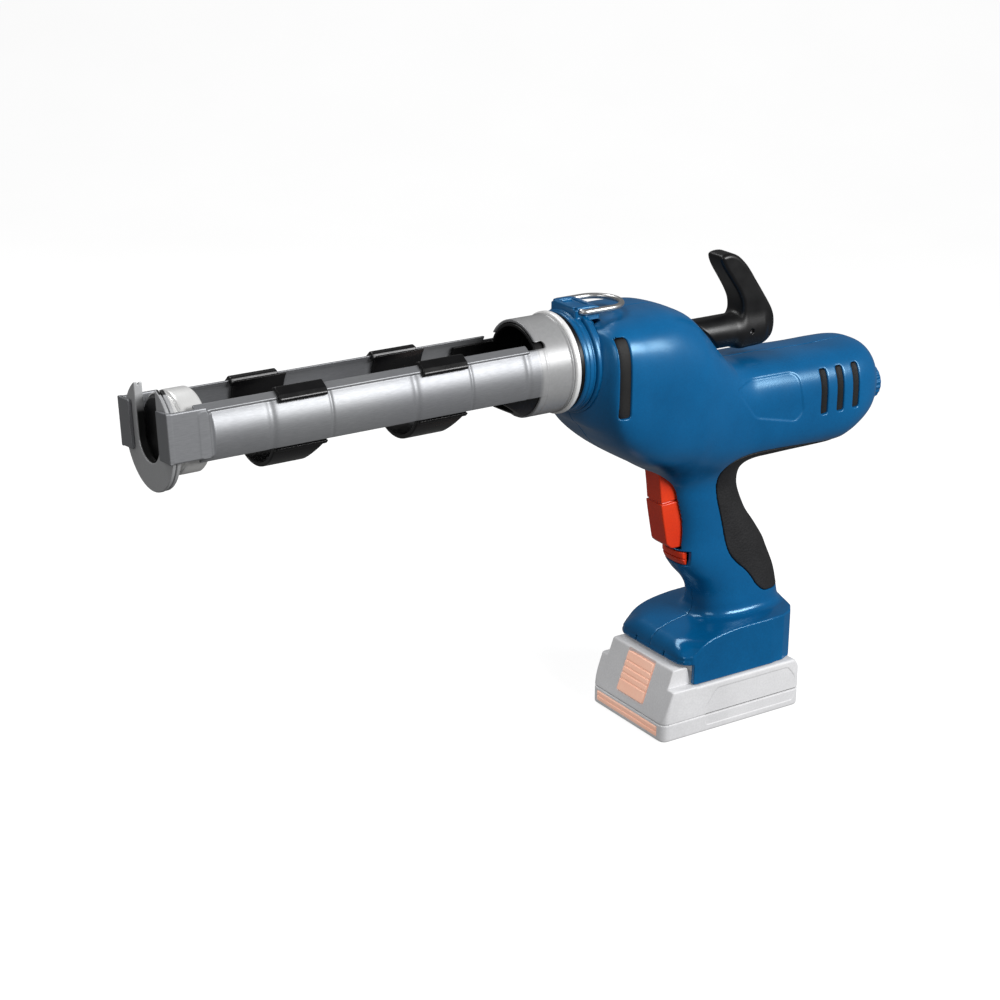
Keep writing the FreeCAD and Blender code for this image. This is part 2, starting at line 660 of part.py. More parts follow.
def saddle(name, x0, tag):
    si, so, sl, ln = D("saddle_in"), D("saddle_out"), D("saddle_low"), D("saddle_len")
    band = cut(tag + "_band", cyl(tag + "_o", so, ln, x0, 0, 0), cyl(tag + "_i", si, ln + 2, x0 - 1, 0, 0))
    band = cut(tag + "_u", band, box(tag + "_topcut", ln + 2, 80, 40, x0 - 1, -40, D("lip_top") + 2))
    lowb = cut(tag + "_lb", cyl(tag + "_lo", sl, ln, x0, 0, 0), cyl(tag + "_li", si, ln + 2, x0 - 1, 0, 0))
    lowb = cut(tag + "_lu", lowb, box(tag + "_lowcut", ln + 2, 80, 80, x0 - 1, -40, D("rail_low") - 0.2))
    over = []
    gaps = []
    for q, t in ((-1.0, "l"), (1.0, "r")):
        over.append(box(tag + "_over" + t, ln, 8.0, 2.2, x0, -25.0 if q < 0 else 17.0, D("lip_top") + 0.2))
        gaps.append(bar_x(tag + "_gap" + t, [(24.9 * q, 13.9), (19.75 * q, 17.6), (18.45 * q, 15.9), (22.3 * q, 12.85), (24.9 * q, 12.85)], x0 - 1, ln + 2))
    allp = fuse(tag + "_all", [band, lowb] + over)
    tools = fuse(tag + "_tools", gaps + [cyl(tag + "_bored", si, ln + 2, x0 - 1, 0, 0)])
    return rolled(cut(tag + "_piece", allp, tools), name)


saddle("saddle_front", D("saddle_x1"), "sf")
saddle("saddle_rear", D("saddle_x2"), "sb")

# black seat inside the collar with arms along both rails
seat = cut("seat_band", cyl("seat_o", D("saddle_out"), 45.6, D("seat_front"), 0, 0), cyl("seat_i", 23.7, 60, -60, 0, 0))
seat_top = box("seat_top", 31, 80, 40, -51, -40, 12.6)
seat_w = box("seat_wedge", 40, 80, 40, -82, -40, -40)
seat_w.Placement = PL(V(-86, -40, -18), ROT(V(0, 1, 0), 24))
rolled(cut("seat_cut", seat, fuse("seat_tools", [seat_top, seat_w])), "cartridge_seat")
b = spin("clamp_turn", [(D("collar_back"), D("ring_bore")), (D("collar_back"), D("ring_big") - 0.5), (D("collar_back") + 0.5, D("ring_big")),
                        (2.3, D("ring_big")), (2.8, D("ring_big") - 0.5), (2.8, D("ring_bore"))])
node(b, "retaining_ring")

# ------------------------------------------------------------------ push rod
b = body("push_rod")
s = sketch(b, "rod_circle", "YZ_Plane")
circle(s, D("rod_r"))
p = b.newObject("PartDesign::Pad", "rod_pad")
p.Profile = s
bind(p, "Length", D("rod_back") - D("rod_front"))
b.Tip = p
rod0 = D("shaft_x") - D("rod_front")
mod = num(D("rack_mod"))
zp, zt = num(D("rack_pitch_z")), num(D("rack_tip"))
zroot = zp + DED * mod
pitch = math.pi * mod
thin_rack = 0.09
gap_half = pitch / 4.0 + thin_rack / 2.0
ta = math.tan(ALPHA)
s2 = sketch(b, "rack_flat", "XZ_Plane")
cx = num(rod0)
n_gap = int(num(D("rack_count")))
first = cx + 3 * pitch
x_end = first - (n_gap - 1) * pitch
outline(s2, [(x_end - 4.0, -9.0), (first + 4.0, -9.0), (first + 4.0, zt), (x_end - 4.0, zt)])
pk = b.newObject("PartDesign::Pocket", "rack_flat_cut")
pk.Profile = s2
pk.Midplane = True
pk.Length = 40
b.Tip = pk
s3 = sketch(b, "rack_gap", "XZ_Plane")
outline(s3, [(first - gap_half - (zp + 9.0) * ta, -9.0), (first + gap_half + (zp + 9.0) * ta, -9.0),
             (first + gap_half - (zroot - zp) * ta, zroot), (first - gap_half + (zroot - zp) * ta, zroot)])
pk2 = b.newObject("PartDesign::Pocket", "rack_gap_cut")
pk2.Profile = s3
pk2.Midplane = True
pk2.Length = 40
b.Tip = pk2
doc.recompute()
lp = b.newObject("PartDesign::LinearPattern", "rack_row")
lp.Originals = [pk2]
lp.Direction = (s3, ["H_Axis"])
lp.Reversed = True
lp.Length = pitch * (n_gap - 1)
lp.setExpression("Length", "3.14159265358979 * dims.rack_mod * (dims.rack_count - 1)")
lp.Occurrences = n_gap
b.Tip = lp
b.Label = "push_rod"
put(b, D("org_x") + D("rod_front"), 0.0, D("org_z"))
NODES.append(b)

qx, ql, qr = D("piston_x"), D("piston_len"), D("piston_r")
b = spin("piston_turn", [
    (qx + 1.6, D("rod_r")), (qx + 1.6, qr - 1.4), (qx + 2.2, qr - 0.6), (qx + 3.6, qr - 0.6), (qx + 4.0, qr - 1.6), (qx + 5.4, qr - 1.6),
    (qx + 5.8, qr - 0.2), (qx + 7.0, qr), (qx + ql - 1.2, qr), (qx + ql, qr - 1.0), (qx + ql, qr - 2.6), (qx + 9, qr - 3.4), (qx + 9, 10.4), (qx + ql, 10.4),
    (qx + ql, D("rod_r")),
])
node(b, "piston")
b = spin("face_turn", [(qx, 0), (qx, qr - 3.5), (qx + 1.6, qr - 1.4), (qx + 1.6, 0)])
node(b, "piston_face")
hexw = [V(num(qx + ql), 11.2 * math.cos(math.pi / 3 * i), 11.2 * math.sin(math.pi / 3 * i)) for i in range(7)]
nut = Part.Face(Part.makePolygon(hexw)).extrude(V(5.5, 0, 0)).cut(pcyl(num(D("rod_r")), -300, -100, 0, 0))
node(code("piston_nut", nut), "piston_nut")
# back of the plunger core closes against the rod end
# pull hook: arm on the rod and a limb leaning forward
hx = D("hook_x")
b = slab("hook_limb", [
    (131.5, -9.6), (149, -9.6), (154.8, -7.4), (157.6, -2.4), (157.8, 5.2), (155.6, 11.8), (143.4, 29.8), (135.6, 41.2), (129.6, 46.6),
    (124.0, 48.6), (117.4, 48.2), (116.0, 45.4), (121.6, 35.6), (128.6, 25.2), (132.2, 17.0), (132.8, 9.6),
], D("hook_half") * 2)
soften(b, b.Tip, 2.6, lambda e: abs(e.BoundBox.YLength) < 1e-6)
arm = cyl("hook_arm", D("hook_r"), 54, hx, 0, 0)
wedge = box("hook_wedge", 50, 40, 40, 0, 0, 0)
wedge.Placement = PL(V(63.5, -20, -10), ROT(V(0, 1, 0), 47))
socket = cyl("hook_socket", D("rod_r"), 60, 86, 0, 0)
pinh = cyl("hook_pin_hole", 1.5, 40, 139, -20, 0, "y")
node(cut("hook_cut", fuse("hook_all", [cut("hook_arm_cut", arm, wedge), b]), fuse("hook_tools", [socket, pinh])), "pull_hook")
pin = cyl("hook_pin_rod", 1.5, 18, 139, -9, 0, "y")
pin_bore = cyl("hook_pin_core", 0.7, 20, 139, -10, 0, "y")
node(cut("hook_pin_cut", pin, pin_bore), "hook_pin")

# ------------------------------------------------------------------ gear train
sx, pz, mz = num(D("shaft_x")), num(D("pinion_z")), num(D("motor_z"))
cr = num(D("cross_r"))
rt = int(num(D("rack_teeth")))
fw = num(D("rack_face"))
node(code("rack_pinion", gear_y(rt, mod, 0.10, math.pi / 2, sx, pz, -fw / 2, fw, cr)), "rack_pinion")
sm = num(D("spur_mod"))
dt, it = int(num(D("drive_teeth"))), int(num(D("idler_teeth")))
sy, sf = num(D("spur_y")), num(D("spur_face"))
g = gear_y(dt, sm, 0.12, -math.pi / 2, sx, pz, sy, sf, cr)
g = g.cut([ycyl(3.4, sy - 1, sy + sf + 1, sx + 14.5 * math.cos(a), pz + 14.5 * math.sin(a)) for a in [math.pi / 3 * i for i in range(6)]])
node(code("drive_gear", g), "drive_gear")
node(code("idler_pinion", gear_y(it, sm, 0.12, math.pi / 2 + math.pi / it, sx, mz, sy, sf, cr)), "idler_pinion")
cl = D("cross_len")
for nm, zz in (("pinion_shaft", D("pinion_z")), ("idler_shaft", D("motor_z"))):
    bar = cyl(nm + "_bar", D("cross_r"), cl, D("shaft_x"), -cl / 2, zz, "y")
    end = cyl(nm + "_hole", 1.0, 3, D("shaft_x"), -cl / 2 - 1, zz, "y")
    node(cut(nm, bar, end), nm)
plates = []
for sgn, tag in ((-1, "left"), (1, "right")):
    y0 = -19.5 if sgn < 0 else 16.5
    pb = box("plate_" + tag, 37, 3, 61, 55, y0, -58)
    holes = [cyl("seat1_" + tag, 8, 10, D("shaft_x"), y0 - 3, D("pinion_z"), "y"),
             cyl("seat2_" + tag, 8, 10, D("shaft_x"), y0 - 3, D("motor_z"), "y"),
             cyl("hole1_" + tag, 2.2, 10, 59.5, y0 - 3, -53, "y"),
             cyl("hole2_" + tag, 2.2, 10, 87.5, y0 - 3, -53, "y"),
             cyl("hole3_" + tag, 5, 10, 61, y0 - 3, -32, "y")]
    node(cut("frame_" + tag, pb, fuse("frame_holes_" + tag, holes)), "gear_frame_" + tag)
rings = []
for i, (zz, y0) in enumerate(((D("pinion_z"), -19.5), (D("pinion_z"), 16.5), (D("motor_z"), -19.5), (D("motor_z"), 16.5))):
    rings.append(cut("bearing%d" % i, cyl("bearing_o%d" % i, 8, 3, D("shaft_x"), y0, zz, "y"),
                     cyl("bearing_i%d" % i, D("cross_r") + D("run_gap"), 9, D("shaft_x"), y0 - 3, zz, "y")))
node(fuse("bearing_set", rings), "shaft_bearings")

# bevel pair: straight teeth that narrow towards the common apex
bm, bg, bp_ = num(D("bevel_mod")), int(num(D("bevel_teeth"))), int(num(D("bevel_small")))
apex = V(sx, 0, mz)
rg, rp = bg * bm / 2.0, bp_ * bm / 2.0
face = num(D("bevel_face"))


def bevel(z, phase, place, far, near, bore_axis, thin):
    pts = gear_points(z, bm, thin, phase, 0.5, 0.9)
    k = near / far
    w1 = ring_wire(pts, lambda a, b: place(a, b, far))
    w2 = ring_wire([(a * k, b * k) for a, b in pts], lambda a, b: place(a, b, near))
    return Part.makeLoft([w1, w2], True, True)


pin_b = bevel(bp_, math.pi, lambda a, b, t: V(sx + t, a, mz + b), rg, rg - face, None, 0.42)
pin_b = pin_b.fuse(pcyl(6.4, sx + rg, sx + rg + 3.0, 0, mz)).cut(pcyl(num(D("cross_r")), sx, sx + 40, 0, mz))
node(code("bevel_pinion", pin_b), "bevel_pinion")
gear_b = bevel(bg, math.pi / bg, lambda a, b, t: V(sx + a, -t, mz + b), rp, rp - face * rp / rg, None, 0.42)
hub = ycyl(9.0, -14.5, -rp, sx, mz).fuse(ycyl(16.0, -rp - 2.0, -rp, sx, mz))
gear_b = gear_b.fuse(hub).cut(ycyl(cr, -30, 0, sx, mz))
node(code("bevel_gear", gear_b), "bevel_gear")

# planetary stage
pm = num(D("plan_mod"))
st, pt_, rt2 = int(num(D("sun_teeth"))), int(num(D("planet_teeth"))), int(num(D("ring_teeth")))
gx, gw = num(D("plan_x")), num(D("plan_face"))
cd = (st + pt_) * pm / 2.0
ANG = [math.pi / 2, math.pi / 2 + 2 * math.pi / 3, math.pi / 2 + 4 * math.pi / 3]
ar = num(D("arm_shaft_r"))
node(code("sun_gear", gear_x(st, pm, 0.10, 0.0, 0, mz, gx, gw, ar)), "sun_gear")
for nm, a in zip(("planet_gear_a", "planet_gear_b", "planet_gear_c"), ANG):
    g = gear_x(pt_, pm, 0.10, a + math.pi / pt_, cd * math.cos(a), mz + cd * math.sin(a), gx, gw, 2.0 + num(D("run_gap")))
    node(code(nm, g), nm)
rr = rt2 * pm / 2.0
hole_pts = gear_points(rt2, pm, -0.10, math.pi / rt2, 1.05, 0.8)
hw = ring_wire(hole_pts, lambda a, b: V(gx - 1.0, a, mz + b))
ringg = pcyl(num(D("ring_r")), gx - 1.0, gx + gw + 1.0, 0, mz).cut(Part.Face(hw).extrude(V(gw + 2.0, 0, 0)))
node(code("ring_gear", ringg), "ring_gear")
# carrier with output shaft and three pins
disc = cyl("carrier_disc", 16, 4, 108.4, 0, D("motor_z"))
outsh = cyl("carrier_shaft", D("cross_r"), 21.4, 87.0, 0, D("motor_z"))
pins = []
for i, a in enumerate(ANG):
    pins.append(cyl("carrier_pin%d" % i, 2.0, 10.8, 112.4, cd * math.cos(a), mz + cd * math.sin(a)))
carr = cut("carrier_cut", fuse("carrier_all", [disc, outsh] + pins), cyl("carrier_relief", 4.0, 1.6, 110.9, 0, D("motor_z")))
node(carr, "planet_carrier")
case = spin("case_turn", [
    (97.5, D("cross_r") + D("run_gap")), (97.5, 10), (99, 12), (103, D("case_r")), (126, D("case_r")), (126, D("ring_r")), (107.5, D("ring_r")),
    (105.5, 18), (105.5, D("cross_r") + D("run_gap")),
])
case.Label = "gearbox_case"
put(case, D("org_x"), 0.0, D("org_z") + D("motor_z"))
NODES.append(case)

# motor
can = cut("can", cyl("can_o", D("can_r"), D("can_len"), D("can_x"), 0, D("motor_z")),
          cyl("can_i", D("can_r") - D("can_wall"), D("can_len"), D("can_x") + 2, 0, D("motor_z")))
canh = fuse("can_holes", [cyl("can_bore", D("arm_shaft_r") + D("run_gap"), 9, D("can_x") - 3, 0, D("motor_z"))] +
            [cyl("can_air%d" % i, 3.0, 9, D("can_x") - 3, 12 * math.cos(i * math.pi / 3), mz + 12 * math.sin(i * math.pi / 3)) for i in range(6)])
node(cut("motor_can", can, canh), "motor_can")
cap = spin("cap_turn", [
    (186, D("arm_shaft_r") + D("run_gap")), (186, D("can_r") - D("can_wall")), (188, D("can_r") - D("can_wall")), (188, D("can_r")), (190.5, D("can_r") - 1),
    (190.5, 9), (193, 8), (193, D("arm_shaft_r") + D("run_gap")),
])
cap.Label = "motor_end_cap"
put(cap, D("org_x"), 0.0, D("org_z") + D("motor_z"))
NODES.append(cap)
mags = []
for sgn, tag in ((-1, "l"), (1, "r")):
    t = cut("magnet_t" + tag, cyl("magnet_o" + tag, 19.3, 40, 138, 0, D("motor_z")), cyl("magnet_i" + tag, 15.8, 44, 136, 0, D("motor_z")))
    mags.append(common("magnet_" + tag, t, box("magnet_b" + tag, 60, 14, 28, 130, -22 if sgn < 0 else 8, D("motor_z") - 14)))
node(fuse("magnet_set", mags), "motor_magnets")
node(cut("motor_bar_cut", cyl("motor_bar", D("arm_shaft_r"), 92.5, 113, 0, D("motor_z")),
         cyl("motor_bar_end", 0.8, 2, 204.5, 0, D("motor_z"))), "motor_shaft")
core = Part.makeCylinder(num(D("rotor_r")), num(D("rotor_len")), V(140, 0, mz), V(1, 0, 0))
slots = []
for i in range(7):
    a = 2 * math.pi * i / 7
    bx = Part.makeBox(60, 8, 2.2, V(130, 11.5, -1.1))
    bx.rotate(V(0, 0, 0), V(1, 0, 0), math.degrees(a))
    bx.translate(V(0, 0, mz))
    slots.append(bx)
core = core.cut(slots).fuse(pcyl(7.5, 177, 184, 0, mz)).fuse(pcyl(7.5, 176, 177, 0, mz)).cut(pcyl(ar, 100, 220, 0, mz))
node(code("rotor_core", core), "rotor_core")
fan = pcyl(6, 194, 204, 0, mz).fuse(pcyl(19, 194, 195.4, 0, mz))
blades = []
for i in range(11):
    bx = Part.makeBox(8.4, 14, 1.2, V(195.2, 5.4, -0.6))
    bx.rotate(V(0, 5.4, 0), V(1, 0, 0), 24)
    bx.rotate(V(0, 0, 0), V(1, 0, 0), 360.0 * i / 11)
    bx.translate(V(0, 0, mz))
    blades.append(bx)
fan = fan.fuse(blades).cut(pcyl(ar, 100, 230, 0, mz))
node(code("cooling_fan", fan), "cooling_fan")

# speed dial with finger ribs
dial = Part.makeCylinder(num(D("dial_r")), num(D("dial_len")), V(num(D("dial_x")), 0, num(D("dial_z"))), V(1, 0, 0))
dial = dial.makeFillet(2.2, [e for e in dial.Edges if abs(e.BoundBox.XMin - num(D("dial_x")) - num(D("dial_len"))) < 1e-3 and e.BoundBox.YLength > 20])
dcuts = []
for i in range(14):
    a = 2 * math.pi * i / 14
    dcuts.append(Part.makeCylinder(1.3, 40, V(num(D("dial_x")) + 1.2, (num(D("dial_r")) + 0.5) * math.cos(a), num(D("dial_z")) + (num(D("dial_r")) + 0.5) * math.sin(a)), V(1, 0, 0)))
dial = dial.cut(dcuts).fuse(pcyl(3.05, 222, num(D("dial_x")) + 2, 0, num(D("dial_z"))))
node(code("speed_dial", dial), "speed_dial")

# ------------------------------------------------------------------ trigger group
b = slab("trigger_slab", [
    (74.4, -77.0), (77.4, -96.6), (79.0, -98.4), (77.8, -100.2), (82.4, -124.2), (87.4, -129.0), (101.5, -129.0), (101.5, -77.0),
], D("trig_half") * 2)
soften(b, b.Tip, 1.2, lambda e: abs(e.BoundBox.YLength) < 1e-6 and e.BoundBox.XMax < 90.0 and e.BoundBox.ZLength > 8.5)
hollow = box("trigger_hollow", 12, 12, 44, 91.5, -6, -124)
web = cyl("trigger_boss", 4.6, 8.5, 91.5, 0, -100)
node(fuse("trigger_all", [cut("trigger_cut", b, hollow), web]), "trigger")
plunger = fuse("plunger_all", [cyl("plunger_rod", 3.0, 17.0, 100.0, 0, -100), cyl("plunger_head", 4.6, 1.5, 100.0, 0, -100)])
node(plunger, "switch_plunger")
swb = box("switch_box", 16.7, 18, 32, 110.8, -9, -117)
swh = cyl("switch_bore", 3.05, 18, 108, 0, -100)
sw2 = fuse("switch_steps", [box("switch_step", 8, 30, 8, 123.5, -15, -92), box("switch_step2", 7, 30, 8, 108, -15, -118)])
node(cut("switch_cut", swb, fuse("switch_tools", [swh, sw2])), "switch_body")
hel = Part.makeHelix(2.5, 7.6, 4.6)
tip = hel.Edges[0].valueAt(hel.Edges[0].FirstParameter)
tan = hel.Edges[0].tangentAt(hel.Edges[0].FirstParameter)
wp = Part.Wire([Part.makeCircle(0.45, tip, tan)])
coil = Part.Wire(hel.Edges).makePipeShell([wp], True, True)
spring = code("trigger_coil", coil)
spring.Label = "trigger_spring"
spring.Placement = PL(V(num(D("org_x")) + 102.4, 0, num(D("org_z")) - 100), ROT(V(0, 1, 0), 90))
NODES.append(spring)
lk = box("lock_bar", D("lock_wide"), D("lock_len"), D("lock_tall"), D("lock_x"), -D("lock_len") / 2, D("lock_z"))
lw = box("lock_bevel", 14, 50, 8, 0, 0, 0)
lw.Placement = PL(V(num(D("lock_x")) - 6.0, -25, num(D("lock_z")) + num(D("lock_tall")) - 2.4), ROT(V(0, 1, 0), -32))
lc1 = box("lock_corner_l", 16, 10, 20, 0, 0, 0)
lc1.Placement = PL(V(81.91, -7.99, -150), ROT(V(0, 0, 1), -57.5))
lc2 = box("lock_corner_r", 16, 10, 20, 0, 0, 0)
lc2.Placement = PL(V(90.35, 2.62, -150), ROT(V(0, 0, 1), 57.5))
node(cut("lock_cut", lk, fuse("lock_tools", [lw, lc1, lc2])), "lock_button")

# ------------------------------------------------------------------ foot contents
tb = box("terminal_box", 30, 34, 8.6, 122, -17, -195.4)
tcut = fuse("terminal_cuts", [box("terminal_c%d" % i, 22, 1.2, 14, 124, y - 0.6, -199) for i, y in enumerate((-12, -4, 4, 12))])
node(cut("terminal_all", tb, tcut), "terminal_block")
node(fuse("blade_set", [box("blade%d" % i, 20, 1.0, 17.5, 125, y - 0.5, -205.5) for i, y in enumerate((-12, -4, 4, 12))]), "terminal_blades")
pcb = box("board", 50, 38, 1.6, 104, -19, -184.6)
chips = [box("chip0", 10, 8, 2.0, 112, -6, -183.0), box("chip1", 6, 6, 1.6, 128, 6, -183.0), box("chip2", 8, 5, 3.0, 138, -14, -183.0)]
node(fuse("board_all", [pcb] + chips), "control_board")

# ------------------------------------------------------------------ battery
kx, kl, kh, kz = D("pack_x"), D("pack_len"), D("pack_half"), D("pack_low")
b = slab("pack_slab", [
    (kx + 1.5, kz), (kx + kl - 3, kz), (kx + kl, kz + 3), (kx + kl, kz + 24), (kx + kl - 6, kz + 31.8), (kx + 26, kz + 31.8),
    (kx + 22.5, kz + 43.5), (kx + 12, kz + 43.5), (kx, kz + 10), (kx, kz + 1.5),
], kh * 2)
hollow = box("pack_hollow", 88, 69, 24.5, 75.5, -34.5, -237.8)
shoulder = fuse("pack_shoulders", [box("pack_sh_l", 40, 20, 20, 50, -50.9, -208.9), box("pack_sh_r", 40, 20, 20, 50, 30.9, -208.9)])
well = slab("pack_well", [(61.06, -223.4), (70.4, -197.25), (78.9, -200.3), (69.5, -226.4)], 26.8)
strip = box("pack_strip_cut", 5.6, 62, 6.6, 59, -31, -238.1)
node(cut("pack_cut", b, fuse("pack_tools", [hollow, shoulder, well, strip])), "battery_case")
rail = fuse("lid_block", [box("lid_low", 70, 52, 8, 88, -26, -209.2), box("lid_top", 70, 60.6, 4.2, 88, -30.3, -201.4)])
slots = fuse("lid_slots", [box("lid_s%d" % i, 40, 2.2, 14, 121.5, y - 1.1, -206.2) for i, y in enumerate((-12, -4, 4, 12))])
node(cut("lid_cut", rail, slots), "battery_lid")
cells = []
for i in range(4):
    cells.append(cyl("cell%d" % i, D("cell_r"), D("cell_len"), 86.5 + 21.8 * i, -D("cell_len") / 2, -225.8, "y"))
node(fuse("cell_set", cells), "battery_cells")
node(common("strip_all", box("strip_box", 3.0, 61.4, 6.4, 61.5, -30.7, -238.0), box("strip_box2", 10, 61.4, 6.4, 60, -30.7, -238.0)), "battery_bumper")
b = slab("latch_slab", [(63.31, -223.58), (71.84, -199.77), (75.59, -201.12), (67.06, -224.93)], 26)
node(b, "latch_button")
doc.recompute()

bad = []
for o in doc.Objects:
    if any(k in o.State for k in ("Invalid", "Error")):
        bad.append((o.Name, o.State))
for o in NODES:
    s = o.Shape
    if s.isNull() or not s.isValid() or not s.Solids:
        bad.append((o.Label, "shape"))
for item in bad:
    print("BAD", item)
labels = [o.Label for o in NODES]
if len(set(labels)) != len(labels):
    print("DUPLICATE", labels)
for o in NODES:
    if o.Shape.isNull() or not o.Shape.isValid():
        continue
    bb = o.Shape.BoundBox
    print("%-18s solids %2d vol %9.1f  x %7.1f %7.1f  y %6.1f %6.1f  z %6.1f %6.1f" % (
        o.Label, len(o.Shape.Solids), o.Shape.Volume, bb.XMin, bb.XMax, bb.YMin, bb.YMax, bb.ZMin, bb.ZMax))
if bad:
    raise RuntimeError("some pieces are not sound")
for o in NODES:
    o.Shape.exportStep("parts/%s.step" % o.Label)
print("pieces", len(NODES))
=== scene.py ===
import math
import bpy
import numpy as np
from mathutils import Matrix, Vector


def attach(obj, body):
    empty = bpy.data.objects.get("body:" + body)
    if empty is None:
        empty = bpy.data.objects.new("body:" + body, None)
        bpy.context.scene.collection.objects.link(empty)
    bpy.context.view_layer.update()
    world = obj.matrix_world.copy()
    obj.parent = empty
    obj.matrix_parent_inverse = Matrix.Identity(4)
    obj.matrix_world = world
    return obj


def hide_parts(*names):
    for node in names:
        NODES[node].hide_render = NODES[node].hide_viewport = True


# Looks of the cordless caulking tool. Shapes are laid out in millimetres from
# the rod axis, as in the CAD source, and moved into the row frame at the end.
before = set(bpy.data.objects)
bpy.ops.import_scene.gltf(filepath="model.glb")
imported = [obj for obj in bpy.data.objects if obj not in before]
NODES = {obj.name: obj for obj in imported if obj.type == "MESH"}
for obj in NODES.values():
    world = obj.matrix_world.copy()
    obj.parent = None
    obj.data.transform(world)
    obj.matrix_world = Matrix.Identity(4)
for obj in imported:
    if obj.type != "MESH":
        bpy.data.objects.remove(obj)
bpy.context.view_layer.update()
OX, OZ = -116.0, 241.0
ROLL = math.radians(-6.0)
F = np.float32


# ------------------------------------------------------------------ fields
def smin(a, b, k):
    t = np.clip(0.5 + 0.5 * (b - a) / k, 0, 1)
    return b + (a - b) * t - k * t * (1 - t)


def smax(a, b, k):
    return -smin(-a, -b, k)


def sstep(a, b, v):
    t = np.clip((v - a) / (b - a), 0, 1)
    return t * t * (3 - 2 * t)


def poly2(u, v, pts):
    """Signed distance to a closed outline."""
    n = len(pts)
    best = np.full(u.shape, 1e9, F)
    inside = np.zeros(u.shape, bool)
    for i in range(n):
        ax, ay = pts[i]
        bx, by = pts[(i + 1) % n]
        ex, ey = bx - ax, by - ay
        wx, wy = u - F(ax), v - F(ay)
        t = np.clip((wx * F(ex) + wy * F(ey)) / F(ex * ex + ey * ey + 1e-12), 0, 1)
        dx, dy = wx - t * F(ex), wy - t * F(ey)
        best = np.minimum(best, dx * dx + dy * dy)
        if abs(ey) > 1e-9:
            hit = ((v >= min(ay, by)) & (v < max(ay, by))) & (wx < (wy * F(ex / ey)))
            inside ^= hit
    d = np.sqrt(best)
    return np.where(inside, -d, d)


class Flat(object):
    """Signed distance to a closed outline, kept on a fine grid."""

    def __init__(self, pts, step=0.2, pad=5.0):
        p = np.array(pts, float)
        self.lo = p.min(0) - pad
        self.n = np.ceil((p.max(0) + pad - self.lo) / step).astype(int) + 2
        self.step = step
        gu, gv = np.meshgrid(self.lo[0] + np.arange(self.n[0]) * step, self.lo[1] + np.arange(self.n[1]) * step, indexing="ij")
        self.d = poly2(gu.astype(F), gv.astype(F), pts).astype(F)

    def __call__(self, u, v):
        a = (u - F(self.lo[0])) / F(self.step)
        b = (v - F(self.lo[1])) / F(self.step)
        ac = np.clip(a, 0, F(self.n[0] - 1.01))
        bc = np.clip(b, 0, F(self.n[1] - 1.01))
        i, j = ac.astype(np.int32), bc.astype(np.int32)
        s, t = ac - i, bc - j
        d = self.d
        w = (d[i, j] * (1 - s) + d[i + 1, j] * s) * (1 - t) + (d[i, j + 1] * (1 - s) + d[i + 1, j + 1] * s) * t
        return (w + np.hypot(a - ac, b - bc) * F(self.step)).astype(F)


def seg2(u, v, a, b):
    ex, ey = b[0] - a[0], b[1] - a[1]
    wx, wy = u - F(a[0]), v - F(a[1])
    t = np.clip((wx * F(ex) + wy * F(ey)) / F(ex * ex + ey * ey + 1e-12), 0, 1)
    return np.hypot(wx - t * F(ex), wy - t * F(ey))


def join(d1, d2, r):
    """Both at once, with the edge rounded by r."""
    q1, q2 = d1 + r, d2 + r
    return np.minimum(np.maximum(q1, q2), 0) + np.hypot(np.maximum(q1, 0), np.maximum(q2, 0)) - r


def boxf(x, y, z, x0, x1, y0, y1, z0, z1, r=0.0):
    qx = np.abs(x - F((x0 + x1) / 2)) - F((x1 - x0) / 2 - r)
    qy = np.abs(y - F((y0 + y1) / 2)) - F((y1 - y0) / 2 - r)
    qz = np.abs(z - F((z0 + z1) / 2)) - F((z1 - z0) / 2 - r)
    out = np.sqrt(np.maximum(qx, 0) ** 2 + np.maximum(qy, 0) ** 2 + np.maximum(qz, 0) ** 2)
    return out + np.minimum(np.maximum(qx, np.maximum(qy, qz)), 0) - F(r)


def tubex(x, y, z, r, x0, x1, rnd=0.0, yc=0.0, zc=0.0):
    return join(np.hypot(y - F(yc), z - F(zc)) - F(r), np.maximum(F(x0) - x, x - F(x1)), rnd)


def curve(pts, per=6):
    """A closed smooth outline through the points."""
    p = np.array(pts, float)
    n = len(p)
    out = []
    for i in range(n):
        a, b, c, d = p[i - 1], p[i], p[(i + 1) % n], p[(i + 2) % n]
        for k in range(per):
            t = k / per
            out.append(0.5 * ((2 * b) + (c - a) * t + (2 * a - 5 * b + 4 * c - d) * t * t + (3 * b - a - 3 * c + d) * t ** 3))
    return [tuple(q) for q in out]


